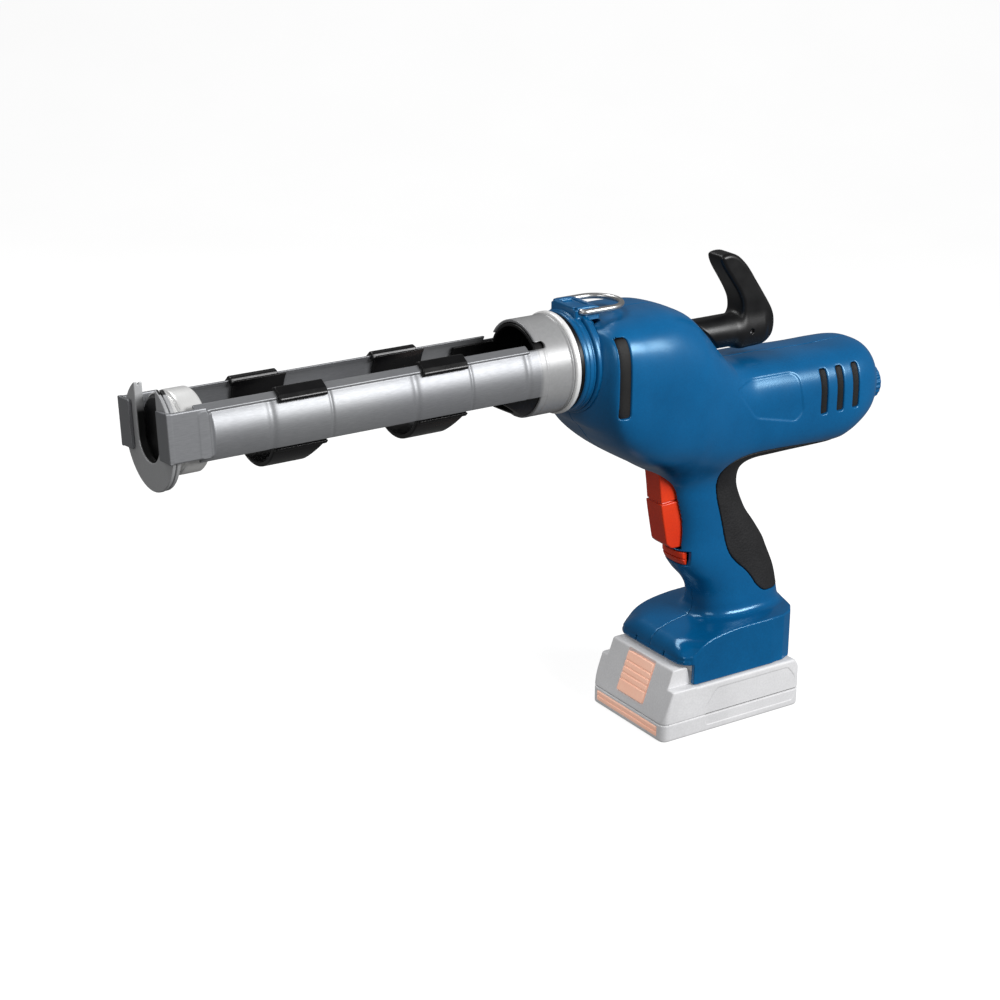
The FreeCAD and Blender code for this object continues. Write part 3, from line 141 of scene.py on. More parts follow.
class Rows(object):
    """Columns of a table, smoothed, looked up along the first one."""

    def __init__(self, rows, blur=1.5, step=0.25):
        rows = sorted(rows)
        r = np.array(rows, float)
        xs = r[:, 0]
        g = np.arange(xs[0], xs[-1] + step / 2, step)
        self.g = g
        self.cols = []
        for c in range(1, r.shape[1]):
            ys = r[:, c]
            d = np.diff(ys) / np.diff(xs)
            m = np.empty(len(xs))
            m[0], m[-1] = d[0], d[-1]
            for i in range(1, len(xs) - 1):
                if d[i - 1] * d[i] <= 0:
                    m[i] = 0
                else:
                    w1 = 2 * (xs[i + 1] - xs[i]) + (xs[i] - xs[i - 1])
                    w2 = (xs[i + 1] - xs[i]) + 2 * (xs[i] - xs[i - 1])
                    m[i] = (w1 + w2) / (w1 / d[i - 1] + w2 / d[i])
            k = np.clip(np.searchsorted(xs, g, side="right") - 1, 0, len(xs) - 2)
            hh = xs[k + 1] - xs[k]
            t = (g - xs[k]) / hh
            v = ((2 * t ** 3 - 3 * t ** 2 + 1) * ys[k] + (t ** 3 - 2 * t ** 2 + t) * hh * m[k]
                 + (-2 * t ** 3 + 3 * t ** 2) * ys[k + 1] + (t ** 3 - t ** 2) * hh * m[k + 1])
            if blur > 0:
                w = int(blur * 3 / step)
                ker = np.exp(-0.5 * (np.arange(-w, w + 1) * step / blur) ** 2)
                ker /= ker.sum()
                lead = v[0] + (v[1] - v[0]) * np.arange(-w, 0)
                tail = v[-1] + (v[-1] - v[-2]) * np.arange(1, w + 1)
                v = np.convolve(np.concatenate([lead, v, tail]), ker, "valid")
            self.cols.append(v.astype(F))

    def at(self, x):
        i = np.clip((x - F(self.g[0])) / F(self.g[1] - self.g[0]), 0, len(self.g) - 1.001)
        k = i.astype(np.int32)
        t = (i - k).astype(F)
        return [c[k] * (1 - t) + c[k + 1] * t for c in self.cols]


def mesh_of(f, lo, hi, h, newton=3):
    """Corner points, normals and four-sided faces of the zero surface of f."""
    lo, hi = np.array(lo, float), np.array(hi, float)
    B = 12
    nb = np.maximum(1, np.ceil((hi - lo) / (h * B)).astype(int))
    n = nb * B + 1
    cs = [lo[i] + (np.arange(nb[i]) + 0.5) * B * h for i in range(3)]
    C = np.stack(np.meshgrid(*cs, indexing="ij"), -1).reshape(-1, 3).astype(F)
    fc = f(C[:, 0], C[:, 1], C[:, 2]).astype(F)
    reach = B * h * math.sqrt(3) / 2 * 1.7 + 2 * h
    hot = np.abs(fc) < reach
    vals = np.empty(n, F)
    rep = fc.reshape(nb)
    for a in range(3):
        rep = np.repeat(rep, B, axis=a)
    vals[:-1, :-1, :-1] = rep
    vals[-1] = vals[-2]
    vals[:, -1] = vals[:, -2]
    vals[:, :, -1] = vals[:, :, -2]
    ids = np.argwhere(hot.reshape(nb))
    loc = np.stack(np.meshgrid(*[np.arange(B + 1)] * 3, indexing="ij"), -1).reshape(-1, 3)
    for s in range(0, len(ids), 300):
        blk = ids[s:s + 300]
        P = ((blk[:, None, :] * B + loc[None]) * h + lo).reshape(-1, 3).astype(F)
        w = f(P[:, 0], P[:, 1], P[:, 2]).astype(F).reshape(len(blk), B + 1, B + 1, B + 1)
        for q, (i, j, k) in enumerate(blk * B):
            vals[i:i + B + 1, j:j + B + 1, k:k + B + 1] = w[q]
    neg = vals < 0
    u8 = neg.astype(np.uint8)
    cnt = sum(u8[a:n[0] - 1 + a, b:n[1] - 1 + b, c:n[2] - 1 + c] for a in (0, 1) for b in (0, 1) for c in (0, 1))
    act = (cnt > 0) & (cnt < 8)
    idx = np.argwhere(act)
    vid = np.full(act.shape, -1, np.int32)
    vid[act] = np.arange(len(idx), dtype=np.int32)
    offs = np.array([(a, b, c) for a in (0, 1) for b in (0, 1) for c in (0, 1)])
    cv = np.stack([vals[idx[:, 0] + o[0], idx[:, 1] + o[1], idx[:, 2] + o[2]] for o in offs], 1)
    acc = np.zeros((len(idx), 3))
    num = np.zeros(len(idx))
    for a in range(8):
        for b in range(a + 1, 8):
            if np.abs(offs[a] - offs[b]).sum() != 1:
                continue
            va, vb = cv[:, a], cv[:, b]
            m = (va < 0) != (vb < 0)
            t = va[m] / (va[m] - vb[m])
            acc[m] += offs[a] + t[:, None] * (offs[b] - offs[a])
            num[m] += 1
    v = lo + (idx + acc / num[:, None]) * h
    quads = []
    for ax in range(3):
        sl0 = [slice(None)] * 3
        sl1 = [slice(None)] * 3
        sl0[ax] = slice(0, n[ax] - 1)
        sl1[ax] = slice(1, n[ax])
        a, b = neg[tuple(sl0)], neg[tuple(sl1)]
        p = np.argwhere(a != b)
        u, w = (ax + 1) % 3, (ax + 2) % 3
        ok = (p[:, u] >= 1) & (p[:, w] >= 1) & (p[:, u] <= n[u] - 2) & (p[:, w] <= n[w] - 2)
        p = p[ok]
        eu = np.zeros(3, int)
        ew = np.zeros(3, int)
        eu[u] = 1
        ew[w] = 1
        c = [p - eu - ew, p - ew, p, p - eu]
        q = np.stack([vid[i[:, 0], i[:, 1], i[:, 2]] for i in c], 1)
        outw = a[p[:, 0], p[:, 1], p[:, 2]]
        q[~outw] = q[~outw][:, ::-1]
        quads.append(q)
    quads = np.concatenate(quads)

    def grad(p, e):
        g = np.empty_like(p)
        for a in range(3):
            q1, q2 = p.copy(), p.copy()
            q1[:, a] += e
            q2[:, a] -= e
            g[:, a] = (f(*[q1[:, i].astype(F) for i in range(3)]) - f(*[q2[:, i].astype(F) for i in range(3)])) / (2 * e)
        return g

    for it in range(newton):
        g = grad(v, 0.12 * h)
        val = f(*[v[:, i].astype(F) for i in range(3)])
        step = -val[:, None] * g / np.maximum((g * g).sum(1), 0.05)[:, None]
        ln = np.linalg.norm(step, axis=1, keepdims=True)
        step *= np.minimum(1, 0.45 * h / np.maximum(ln, 1e-9))
        v = v + step
    g = grad(v, 0.35 * h)
    nrm = g / np.maximum(np.linalg.norm(g, axis=1, keepdims=True), 1e-9)
    return v, nrm, quads


def to_row(v, roll):
    v = np.array(v, float)
    if roll:
        c, s = math.cos(ROLL), math.sin(ROLL)
        y, z = v[:, 1].copy(), v[:, 2].copy()
        v[:, 1], v[:, 2] = y * c - z * s, y * s + z * c
    return v


def make(name, v, nrm, quads, body, mat, replaces=(), slot=None, roll=False):
    v = (to_row(v, roll) + np.array([OX, 0, OZ])) / 1000.0
    me = bpy.data.meshes.new(name)
    quads = np.asarray(quads, np.int32)
    k = quads.shape[1]
    me.vertices.add(len(v))
    me.vertices.foreach_set("co", v.astype(F).ravel())
    me.loops.add(quads.size)
    me.loops.foreach_set("vertex_index", quads.ravel())
    me.polygons.add(len(quads))
    me.polygons.foreach_set("loop_start", np.arange(0, quads.size, k, dtype=np.int32))
    me.polygons.foreach_set("use_smooth", np.ones(len(quads), bool))
    me.update(calc_edges=True)
    me.validate()
    if nrm is not None and len(me.vertices) == len(nrm):
        me.normals_split_custom_set_from_vertices(to_row(nrm, roll).tolist())
    o = bpy.data.objects.new(name, me)
    bpy.context.scene.collection.objects.link(o)
    me.materials.append(mat)
    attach(o, body)
    if replaces:
        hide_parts(*replaces)
    return o


def solid(name, f, lo, hi, h, body, mat, replaces=(), slot=None, roll=False, newton=3):
    v, nrm, q = mesh_of(f, lo, hi, h, newton)
    return make(name, v, nrm, q, body, mat, replaces, slot, roll)


def rounded(pts, r, steps=5, closed=True):
    """An outline with each corner rounded by up to r."""
    out = []
    n = len(pts)
    for i in range(n):
        a, b, c = np.array(pts[i - 1], float), np.array(pts[i], float), np.array(pts[(i + 1) % n], float)
        u, w = a - b, c - b
        lu, lw = np.linalg.norm(u), np.linalg.norm(w)
        u, w = u / lu, w / lw
        cut = min(r, lu * 0.45, lw * 0.45)
        p0, p2 = b + u * cut, b + w * cut
        for k in range(steps + 1):
            t = k / steps
            out.append(tuple((1 - t) ** 2 * p0 + 2 * t * (1 - t) * b + t * t * p2))
    return out


def lathe(name, pts, body, mat, r=0.4, seg=144, zc=0.0, replaces=(), slot=None):
    """A closed outline of (x, radius) turned about the X direction."""
    p = np.array(rounded(pts, r), float)
    m = len(p)
    a = np.arange(seg) * 2 * math.pi / seg
    v = np.empty((seg, m, 3))
    v[:, :, 0] = p[None, :, 0]
    v[:, :, 1] = np.cos(a)[:, None] * p[None, :, 1]
    v[:, :, 2] = np.sin(a)[:, None] * p[None, :, 1] + zc
    i = np.arange(seg)[:, None] * m
    j = ((np.arange(seg) + 1) % seg)[:, None] * m
    k = np.arange(m)[None]
    k2 = (np.arange(m)[None] + 1) % m
    q = np.stack([(i + k), (j + k), (j + k2), (i + k2)], -1).reshape(-1, 4)
    area = 0.5 * np.sum(p[:, 0] * np.roll(p[:, 1], -1) - np.roll(p[:, 0], -1) * p[:, 1])
    if area > 0:
        q = q[:, ::-1]
    o = make(name, v.reshape(-1, 3), None, q, body, mat, replaces, slot)
    return o


# ------------------------------------------------------------------ materials
def nodes_of(name):
    m = bpy.data.materials.new(name)
    m.use_nodes = True
    t = m.node_tree
    return m, t, t.nodes["Principled BSDF"]


def noise(t, scale, detail=3.0, rough=0.55, stretch=None):
    co = t.nodes.new("ShaderNodeTexCoord")
    n = t.nodes.new("ShaderNodeTexNoise")
    n.inputs["Scale"].default_value = scale
    n.inputs["Detail"].default_value = detail
    n.inputs["Roughness"].default_value = rough
    if stretch:
        mp = t.nodes.new("ShaderNodeMapping")
        mp.inputs["Scale"].default_value = stretch
        t.links.new(co.outputs["Object"], mp.inputs["Vector"])
        t.links.new(mp.outputs["Vector"], n.inputs["Vector"])
    else:
        t.links.new(co.outputs["Object"], n.inputs["Vector"])
    return n.outputs["Fac"]


def ramp(t, fac, stops):
    r = t.nodes.new("ShaderNodeValToRGB")
    e = r.color_ramp.elements
    e[0].position, e[0].color = stops[0][0], tuple(stops[0][1]) + (1,)
    e[1].position, e[1].color = stops[-1][0], tuple(stops[-1][1]) + (1,)
    for p, c in stops[1:-1]:
        x = e.new(p)
        x.color = tuple(c) + (1,)
    t.links.new(fac, r.inputs["Fac"])
    return r.outputs["Color"]


def span(t, v, a0, a1, b0, b1):
    n = t.nodes.new("ShaderNodeMapRange")
    n.inputs["From Min"].default_value = a0
    n.inputs["From Max"].default_value = a1
    n.inputs["To Min"].default_value = b0
    n.inputs["To Max"].default_value = b1
    t.links.new(v, n.inputs["Value"])
    return n.outputs["Result"]


def mix(t, fac, a, b, how="MIX"):
    n = t.nodes.new("ShaderNodeMix")
    n.data_type = "RGBA"
    n.blend_type = how
    for s, v in ((n.inputs["Factor"], fac), (n.inputs["A"] if False else n.inputs[6], a), (n.inputs[7], b)):
        if hasattr(v, "is_output") or isinstance(v, bpy.types.NodeSocket):
            t.links.new(v, s)
        elif isinstance(v, (int, float)):
            s.default_value = v
        else:
            s.default_value = tuple(v) + (1,)
    return n.outputs[2]


def bump(t, b, layers):
    """layers: (height socket, strength, distance in metres)"""
    last = None
    for hsock, st, dist in layers:
        n = t.nodes.new("ShaderNodeBump")
        n.inputs["Strength"].default_value = st
        n.inputs["Distance"].default_value = dist
        t.links.new(hsock, n.inputs["Height"])
        if last is not None:
            t.links.new(last, n.inputs["Normal"])
        last = n.outputs["Normal"]
    t.links.new(last, b.inputs["Normal"])


def along(t, axis, a0, a1, b0, b1):
    """A value that runs along one direction of the piece."""
    co = t.nodes.new("ShaderNodeTexCoord")
    se = t.nodes.new("ShaderNodeSeparateXYZ")
    t.links.new(co.outputs["Object"], se.inputs["Vector"])
    return span(t, se.outputs[axis], a0, a1, b0, b1)


def total(t, a, b):
    n = t.nodes.new("ShaderNodeMath")
    n.operation = "ADD"
    t.links.new(a, n.inputs[0])
    t.links.new(b, n.inputs[1])
    return n.outputs[0]


def edge(t, lo=0.52, hi=0.6):
    g = t.nodes.new("ShaderNodeNewGeometry")
    return span(t, g.outputs["Pointiness"], lo, hi, 0.0, 1.0)


def moulded(name, dark, mid, light, rough, spread=0.06, grain=0.10, grain_scale=1400, coat=0.0, wear=(0.3, 0.35, 0.4), wear_amount=0.25, ior=1.5, sleek=None, tint=None):
    m, t, b = nodes_of(name)
    c = ramp(t, noise(t, 22, 4), [(0.3, dark), (0.5, mid), (0.72, light)])
    sp = ramp(t, noise(t, 900, 2), [(0.35, (0.94, 0.94, 0.94)), (0.65, (1.04, 1.04, 1.04))])
    c = mix(t, 1.0, c, sp, "MULTIPLY")
    e = t.nodes.new("ShaderNodeMath")
    e.operation = "MULTIPLY"
    t.links.new(edge(t), e.inputs[0])
    t.links.new(span(t, noise(t, 140, 5), 0.42, 0.68, 0.0, wear_amount), e.inputs[1])
    c = mix(t, e.outputs[0], c, wear)
    t.links.new(c, b.inputs["Base Color"])
    ro = span(t, noise(t, 70, 4), 0.3, 0.7, rough - spread, rough + spread)
    if sleek:
        ro = total(t, ro, along(t, "Z", sleek[0], sleek[1], sleek[2], 0.0))
    t.links.new(ro, b.inputs["Roughness"])
    b.inputs["IOR"].default_value = ior
    if tint:
        b.inputs["Specular Tint"].default_value = tuple(tint) + (1,)
    if coat:
        b.inputs["Coat Weight"].default_value = coat
        b.inputs["Coat Roughness"].default_value = 0.12
    bump(t, b, [(noise(t, grain_scale, 2, 0.6), grain, 0.0004), (noise(t, 60, 3), 0.015, 0.0015)])
    return m


def rubber(name, dark, light):
    m, t, b = nodes_of(name)
    co = t.nodes.new("ShaderNodeTexCoord")
    vo = t.nodes.new("ShaderNodeTexVoronoi")
    vo.inputs["Scale"].default_value = 750
    t.links.new(co.outputs["Object"], vo.inputs["Vector"])
    c = ramp(t, noise(t, 30, 5), [(0.3, dark), (0.7, light)])
    c = mix(t, span(t, vo.outputs["Distance"], 0.2, 0.7, 0.0, 0.35), c, (0.018, 0.018, 0.02))
    t.links.new(c, b.inputs["Base Color"])
    b.inputs["IOR"].default_value = 1.4
    t.links.new(span(t, noise(t, 90, 4), 0.3, 0.7, 0.5, 0.66), b.inputs["Roughness"])
    bump(t, b, [(vo.outputs["Distance"], 0.22, 0.0005), (noise(t, 1800, 2), 0.12, 0.0003)])
    return m


def metal(name, dark, mid, light, rough, spread=0.06, stretch=(4, 90, 90), scale=9, fine=0.06, metallic=1.0, end=None):
    m, t, b = nodes_of(name)
    g = noise(t, scale * 10, 6, 0.6, stretch)
    c = ramp(t, g, [(0.3, dark), (0.5, mid), (0.72, light)])
    cl = ramp(t, noise(t, 16, 4), [(0.3, (0.93, 0.93, 0.94)), (0.7, (1.03, 1.03, 1.02))])
    c = mix(t, 1.0, c, cl, "MULTIPLY")
    ro = span(t, noise(t, scale * 14, 5, 0.6, stretch), 0.3, 0.7, rough - spread, rough + spread)
    b.inputs["Metallic"].default_value = metallic
    if end:
        # a paler, duller zone at one end
        x0, x1, pale, pale2, more = end
        where = along(t, "X", x0, x1, 0.0, 1.0)
        c = mix(t, where, c, ramp(t, noise(t, 500, 4, 0.7), [(0.35, pale), (0.65, pale2)]))
        ro = total(t, ro, along(t, "X", x0, x1, 0.0, more))
        t.links.new(along(t, "X", x0, x1, metallic, metallic * 0.4), b.inputs["Metallic"])
    t.links.new(c, b.inputs["Base Color"])
    t.links.new(ro, b.inputs["Roughness"])
    bump(t, b, [(g, fine, 0.0003), (noise(t, 420, 4), fine * 0.7, 0.0004)])
    return m


BLUE = moulded("blue_moulded", (0.0008, 0.074, 0.202), (0.001, 0.087, 0.234), (0.0015, 0.10, 0.264), 0.295, 0.02, 0.025, 1500, 0.0, (0.01, 0.15, 0.36), 0.06, 1.66, (0.045, 0.085, -0.2), (0.46, 0.78, 1.0))
BLACK = moulded("black_moulded", (0.0022, 0.0022, 0.0025), (0.0034, 0.0034, 0.0038), (0.005, 0.005, 0.0055), 0.3, 0.07, 0.08, 1300, 0.0, (0.03, 0.03, 0.031), 0.35, 1.42)
LOUVRE = moulded("louvre_grey", (0.018, 0.017, 0.016), (0.024, 0.023, 0.022), (0.03, 0.029, 0.028), 0.5, 0.07, 0.08, 1300, 0.0, (0.05, 0.05, 0.05), 0.2)
DEEP = moulded("black_deep", (0.0018, 0.0018, 0.002), (0.0026, 0.0026, 0.0028), (0.004, 0.004, 0.0042), 0.42, 0.07, 0.08, 1300, 0.0, (0.02, 0.02, 0.02), 0.3, 1.35)
HOOK = moulded("black_hook", (0.003, 0.003, 0.0033), (0.0045, 0.0045, 0.005), (0.0065, 0.0065, 0.007), 0.36, 0.07, 0.08, 1100, 0.0, (0.03, 0.03, 0.031), 0.3, 1.42)
RUBBER = rubber("soft_grip", (0.0045, 0.0045, 0.005), (0.008, 0.008, 0.009))
RED = moulded("red_moulded", (0.55, 0.024, 0.003), (0.63, 0.032, 0.004), (0.69, 0.042, 0.006), 0.36, 0.06, 0.07, 1400, 0.0, (0.8, 0.18, 0.08), 0.12)
PALE = moulded("pale_grey", (0.47, 0.47, 0.48), (0.53, 0.53, 0.54), (0.59, 0.59, 0.60), 0.5, 0.07, 0.12, 1200, 0.0, (0.85, 0.85, 0.85), 0.3)
PALE2 = moulded("pale_grey_deep", (0.48, 0.48, 0.49), (0.53, 0.53, 0.54), (0.58, 0.58, 0.59), 0.52, 0.07, 0.14, 1000, 0.0, (0.8, 0.8, 0.8), 0.3)
SALMON = moulded("pale_salmon", (0.90, 0.52, 0.38), (0.93, 0.57, 0.43), (0.95, 0.62, 0.48), 0.48, 0.06, 0.10, 1200, 0.0, (0.96, 0.78, 0.68), 0.3)
# painted light: the pale battery case, lid and salmon latch parts glow a little, so they read brighter than the lamps
# alone make them
for pale, painted_glow_colour, amount in ((PALE, (0.8, 0.8, 0.81), 0.15), (PALE2, (0.7, 0.7, 0.71), 0.12), (SALMON, (1.0, 0.56, 0.42), 0.26)):
    pb = pale.node_tree.nodes["Principled BSDF"]
    pb.inputs["Emission Color"].default_value = painted_glow_colour + (1,)
    pb.inputs["Emission Strength"].default_value = amount
BOARD = moulded("board_green", (0.008, 0.08, 0.03), (0.012, 0.11, 0.045), (0.02, 0.14, 0.06), 0.4, 0.06, 0.12, 900)
CELL = moulded("cell_sleeve", (0.05, 0.16, 0.12), (0.06, 0.19, 0.14), (0.08, 0.23, 0.17), 0.35, 0.06, 0.05, 900)
GREY = metal("holder_grey", (0.19, 0.195, 0.205), (0.218, 0.223, 0.233), (0.246, 0.251, 0.261), 0.43, 0.04, (3, 60, 60), 7, 0.035, 0.5, (-0.1405, -0.1375, (0.285, 0.287, 0.29), (0.315, 0.317, 0.32), -0.06))
GREY_PLATE = metal("plate_grey", (0.36, 0.365, 0.37), (0.40, 0.405, 0.41), (0.44, 0.445, 0.45), 0.45, 0.05, (30, 30, 30), 7, 0.04, 0.25)
RING_WHITE = metal("ring_white", (0.80, 0.80, 0.80), (0.86, 0.86, 0.86), (0.92, 0.92, 0.91), 0.34, 0.05, (90, 4, 4), 7, 0.03, 0.25)
BRIGHT = metal("bright_plate", (0.42, 0.42, 0.42), (0.49, 0.49, 0.49), (0.56, 0.56, 0.55), 0.33, 0.05, (90, 4, 4), 7, 0.03, 0.9)
ALLOY = metal("turned_alloy", (0.78, 0.78, 0.77), (0.84, 0.84, 0.83), (0.91, 0.91, 0.89), 0.34, 0.05, (160, 3, 3), 7, 0.04, 0.4)
STEEL = metal("machined_steel", (0.42, 0.42, 0.43), (0.5, 0.5, 0.51), (0.6, 0.6, 0.6), 0.3, 0.07, (5, 90, 90), 8, 0.06)
ROD = metal("rod_alloy", (0.5, 0.5, 0.51), (0.57, 0.57, 0.58), (0.66, 0.66, 0.66), 0.26, 0.06, (3, 90, 90), 8, 0.05)


def paint_slot_shade(m):
    """Painted shade: dull black, non-metallic colour inside the slot of the end plate, behind its front face, where the
    slot walls lie in shadow.
    """
    t = m.node_tree
    b = t.nodes["Principled BSDF"]
    src = b.inputs["Base Color"].links[0].from_socket
    co = t.nodes.new("ShaderNodeTexCoord")
    se = t.nodes.new("ShaderNodeSeparateXYZ")
    t.links.new(co.outputs["Object"], se.inputs["Vector"])
    ab = t.nodes.new("ShaderNodeMath")
    ab.operation = "ABSOLUTE"
    t.links.new(se.outputs["Y"], ab.inputs[0])
    slot_shade_mask = t.nodes.new("ShaderNodeMath")
    slot_shade_mask.operation = "MULTIPLY"
    t.links.new(span(t, ab.outputs[0], 0.0138, 0.0142, 1.0, 0.0), slot_shade_mask.inputs[0])
    t.links.new(span(t, se.outputs["X"], -0.3618, -0.3612, 0.0, 1.0), slot_shade_mask.inputs[1])
    # painted shade: the slot walls are mixed to near-black and lose their metal sheen
    t.links.new(mix(t, slot_shade_mask.outputs[0], src, ramp(t, noise(t, 80, 3), [(0.3, (0.004, 0.004, 0.004)), (0.7, (0.008, 0.008, 0.008))])), b.inputs["Base Color"])
    t.links.new(span(t, slot_shade_mask.outputs[0], 0.0, 1.0, 0.25, 0.0), b.inputs["Metallic"])


paint_slot_shade(GREY_PLATE)
BRASS = metal("sintered_bronze", (0.5, 0.33, 0.13), (0.6, 0.42, 0.18), (0.68, 0.5, 0.24), 0.38, 0.08, (40, 40, 40), 6, 0.1)
FERRITE = metal("ferrite", (0.05, 0.05, 0.052), (0.07, 0.07, 0.075), (0.1, 0.1, 0.105), 0.55, 0.08, (30, 30, 30), 6, 0.1, 0.4)

for n, o in NODES.items():
    pick = STEEL
    if n in ("housing_left", "housing_right", "nose_ring", "speed_dial"):
        pick = BLUE
    elif n == "grip_overmould":
        pick = RUBBER
    elif n == "holder_frame":
        pick = GREY
    elif n == "end_plate":
        pick = GREY_PLATE
    elif n == "retaining_ring":
        pick = RING_WHITE
    elif n == "d_ring":
        pick = BRIGHT
    elif n in ("saddle_front", "saddle_rear", "cartridge_seat", "swivel_bush", "pull_hook", "piston_face", "switch_body", "terminal_block",
               "cooling_fan", "switch_plunger", "motor_end_cap"):
        pick = BLACK
    elif n in ("piston", "gearbox_case"):
        pick = ALLOY
    elif n == "push_rod":
        pick = ROD
    elif n in ("front_rod_bush", "rear_rod_bush", "terminal_blades"):
        pick = BRASS
    elif n == "motor_magnets":
        pick = FERRITE
    elif n in ("trigger", "lock_button"):
        pick = RED
    elif n == "control_board":
        pick = BOARD
    elif n == "battery_case":
        pick = PALE
    elif n == "battery_lid":
        pick = PALE2
    elif n in ("latch_button", "battery_bumper"):
        pick = SALMON
    elif n == "battery_cells":
        pick = CELL
    o.data.materials.clear()
    o.data.materials.append(pick)

# ------------------------------------------------------------------ housing form
MZ = -48.2
BELL = Rows([
    (14.5, -4.5, 27.5, 30.2, 2.1), (16, -6, 29.2, 32.6, 2.2), (18, -7.4, 30.5, 36.6, 2.7), (20.5, -8.7, 31.5, 39.2, 3.5), (24, -10.5, 33.9, 40.3, 4), (28, -12.5, 37.1, 40.7, 3.9),
    (40, -17, 42.5, 41.4, 3.6), (55, -21, 46.9, 41.4, 3.4), (70, -24, 48.9, 40.4, 3.2),
    (84, -28.25, 48.6, 39, 3), (95, -33.75, 44.7, 36.8, 2.9), (106, -40.5, 38.8, 34.4, 3),
    (118, -46.0, 32.8, 32.4, 3.1), (130, MZ + 0.9, 31.1, 31.4, 3.2), (145, MZ + 0.8, 31.0, 31.4, 3.2), (165, MZ + 0.4, 30.5, 31.4, 3.2),
    (190, MZ, 30.1, 31.4, 3.2), (202, MZ + 0.3, 30.0, 31.3, 3.1), (210, MZ + 1.4, 29.2, 30.8, 2.9), (218, MZ + 3.1, 27.6, 29.4, 2.7), (224, MZ + 4.1, 25.8, 27.4, 2.5),
    (228.5, MZ + 4.3, 23.2, 24.4, 2.3), (231.5, MZ + 3.9, 20.0, 20.6, 2.1), (233.4, MZ + 3.2, 16.0, 16.5, 2),
], 0.6)
GRIP = Rows([
    (-50, 100, 34, 20, 2.4), (-58, 100, 34, 20, 2.4), (-70, 100, 33, 19, 2.4), (-80, 105, 28, 17.6, 2.5), (-88, 109, 25.2, 16.8, 2.6),
    (-97, 111.2, 24.4, 16.4, 2.7), (-110, 115.8, 25.2, 16.6, 2.8), (-125, 121.5, 30, 17.2, 2.9),
    (-137, 125, 33.8, 17.7, 3), (-147, 130.5, 33, 18, 2.9), (-156, 136.5, 31, 18.4, 2.7), (-164, 139.5, 30, 19, 2.6),
    (-172, 140.5, 30.5, 20, 2.6), (-186, 141, 31, 21, 2.6), (-196, 141, 31, 21, 2.6),
], 1.4)
FOOT_TOP = Rows([(78, -193), (79, -189.6), (80.5, -187.2), (83, -184.9), (87, -183.0), (94, -181.0), (105, -179.0), (122, -177.4), (150, -176.8), (174, -177.2)], 0.6)
FOOT_RIDGE = Rows([(78, -194.6), (82, -193.2), (86, -190.2), (91.3, -185.2), (97, -182.2), (103.3, -180.4), (112, -179.1), (122, -178.3), (150, -178.0), (174, -178.8)], 1.0)
FOOT_PLAN = [(78.5, 0), (78.6, 20), (79.2, 27.5), (81, 31.2), (85.5, 34.6), (90, 35), (146, 35), (156, 34.2), (163.5, 31), (168.5, 25), (171.3, 16), (172.3, 6), (172.5, 0)]
FOOT_PLAN = Flat(FOOT_PLAN + [(a, -b) for a, b in FOOT_PLAN[-2:0:-1]])
SOFT = Flat(curve([
    (214, -77.5), (192, -74.5), (161, -71.4), (139, -70.2), (124, -71), (115.5, -74), (111.6, -79.5),
    (111.2, -87), (113, -99), (117, -114), (120.4, -128.7), (124, -137), (129.5, -143.5), (136.3, -149.6),
    (141.2, -155.3), (145, -160.8), (151, -165.9), (157.5, -167.2), (170, -167.5), (195, -166), (196, -120), (176, -100), (222, -98), (221, -82),
], 4), 0.25)
PANEL = Flat(rounded([(112, -27), (125, -23.8), (157, -24.3), (161.4, -27), (164.6, -48.5), (159, -54), (128, -46.7)], 3.0))


def bell_f(x, y, z):
    zc, rz, ry, n = BELL.at(x)
    dz = z - zc
    u = (np.abs(y) / ry) ** n + (np.abs(dz) / rz) ** n
    k = np.maximum(u, 1e-6) ** (1 / n)
    rad = np.hypot(y, dz)
    d = rad - rad / k
    d = np.where(k < 0.05, -np.minimum(rz, ry), d)
    d = d * 0.88
    return smax(d, np.maximum(F(14.6) - x, x - F(233.2)), 1.6)


def grip_f(x, y, z):
    xc, a, b, n = GRIP.at(z)
    dx = x - xc
    u = (np.abs(dx) / a) ** n + (np.abs(y) / b) ** n
    k = np.maximum(u, 1e-6) ** (1 / n)
    rad = np.hypot(dx, y)
    d = rad - rad / k
    d = np.where(k < 0.05, -np.minimum(a, b), d)
    return np.maximum(d * 0.92, np.maximum(z - F(-52.0), F(-190.0) - z))


def foot_f(x, y, z):
    ay = np.abs(y)
    plan = FOOT_PLAN(x, ay)
    top, = FOOT_TOP.at(x)
    rid, = FOOT_RIDGE.at(x)
    t = np.clip((ay - 17) / 18.0, 0, 1) ** 2.2
    d = (z - (top + (rid - top) * t)) * 0.82
    f = smax(plan, d, 0.9)
    lip = join(plan - 0.45, np.maximum(np.abs(z + 194.6) - 1.5, x - 84.0), 0.5)
    f = smin(f, lip, 0.7)
    return np.maximum(f, F(-208.5) - z)


def form(x, y, z):
    f = smin(bell_f(x, y, z), grip_f(x, y, z), 15.0)
    return smin(f, foot_f(x, y, z), 5.0)


VENTS = (178.4, 191.1, 203.7)
VW = 5.2


def slots_f(x, y, z):
    """Cooling openings on both sides."""
    ay = np.abs(y)
    s = boxf(x, ay, z, 21.6, 28.8, 20, 60, -27.2, 18.6, 2.2)
    for vx in VENTS:
        s = np.minimum(s, boxf(x, ay, z, vx, vx + VW, 16, 48, -53.3, -25.8, 1.6))
    return s


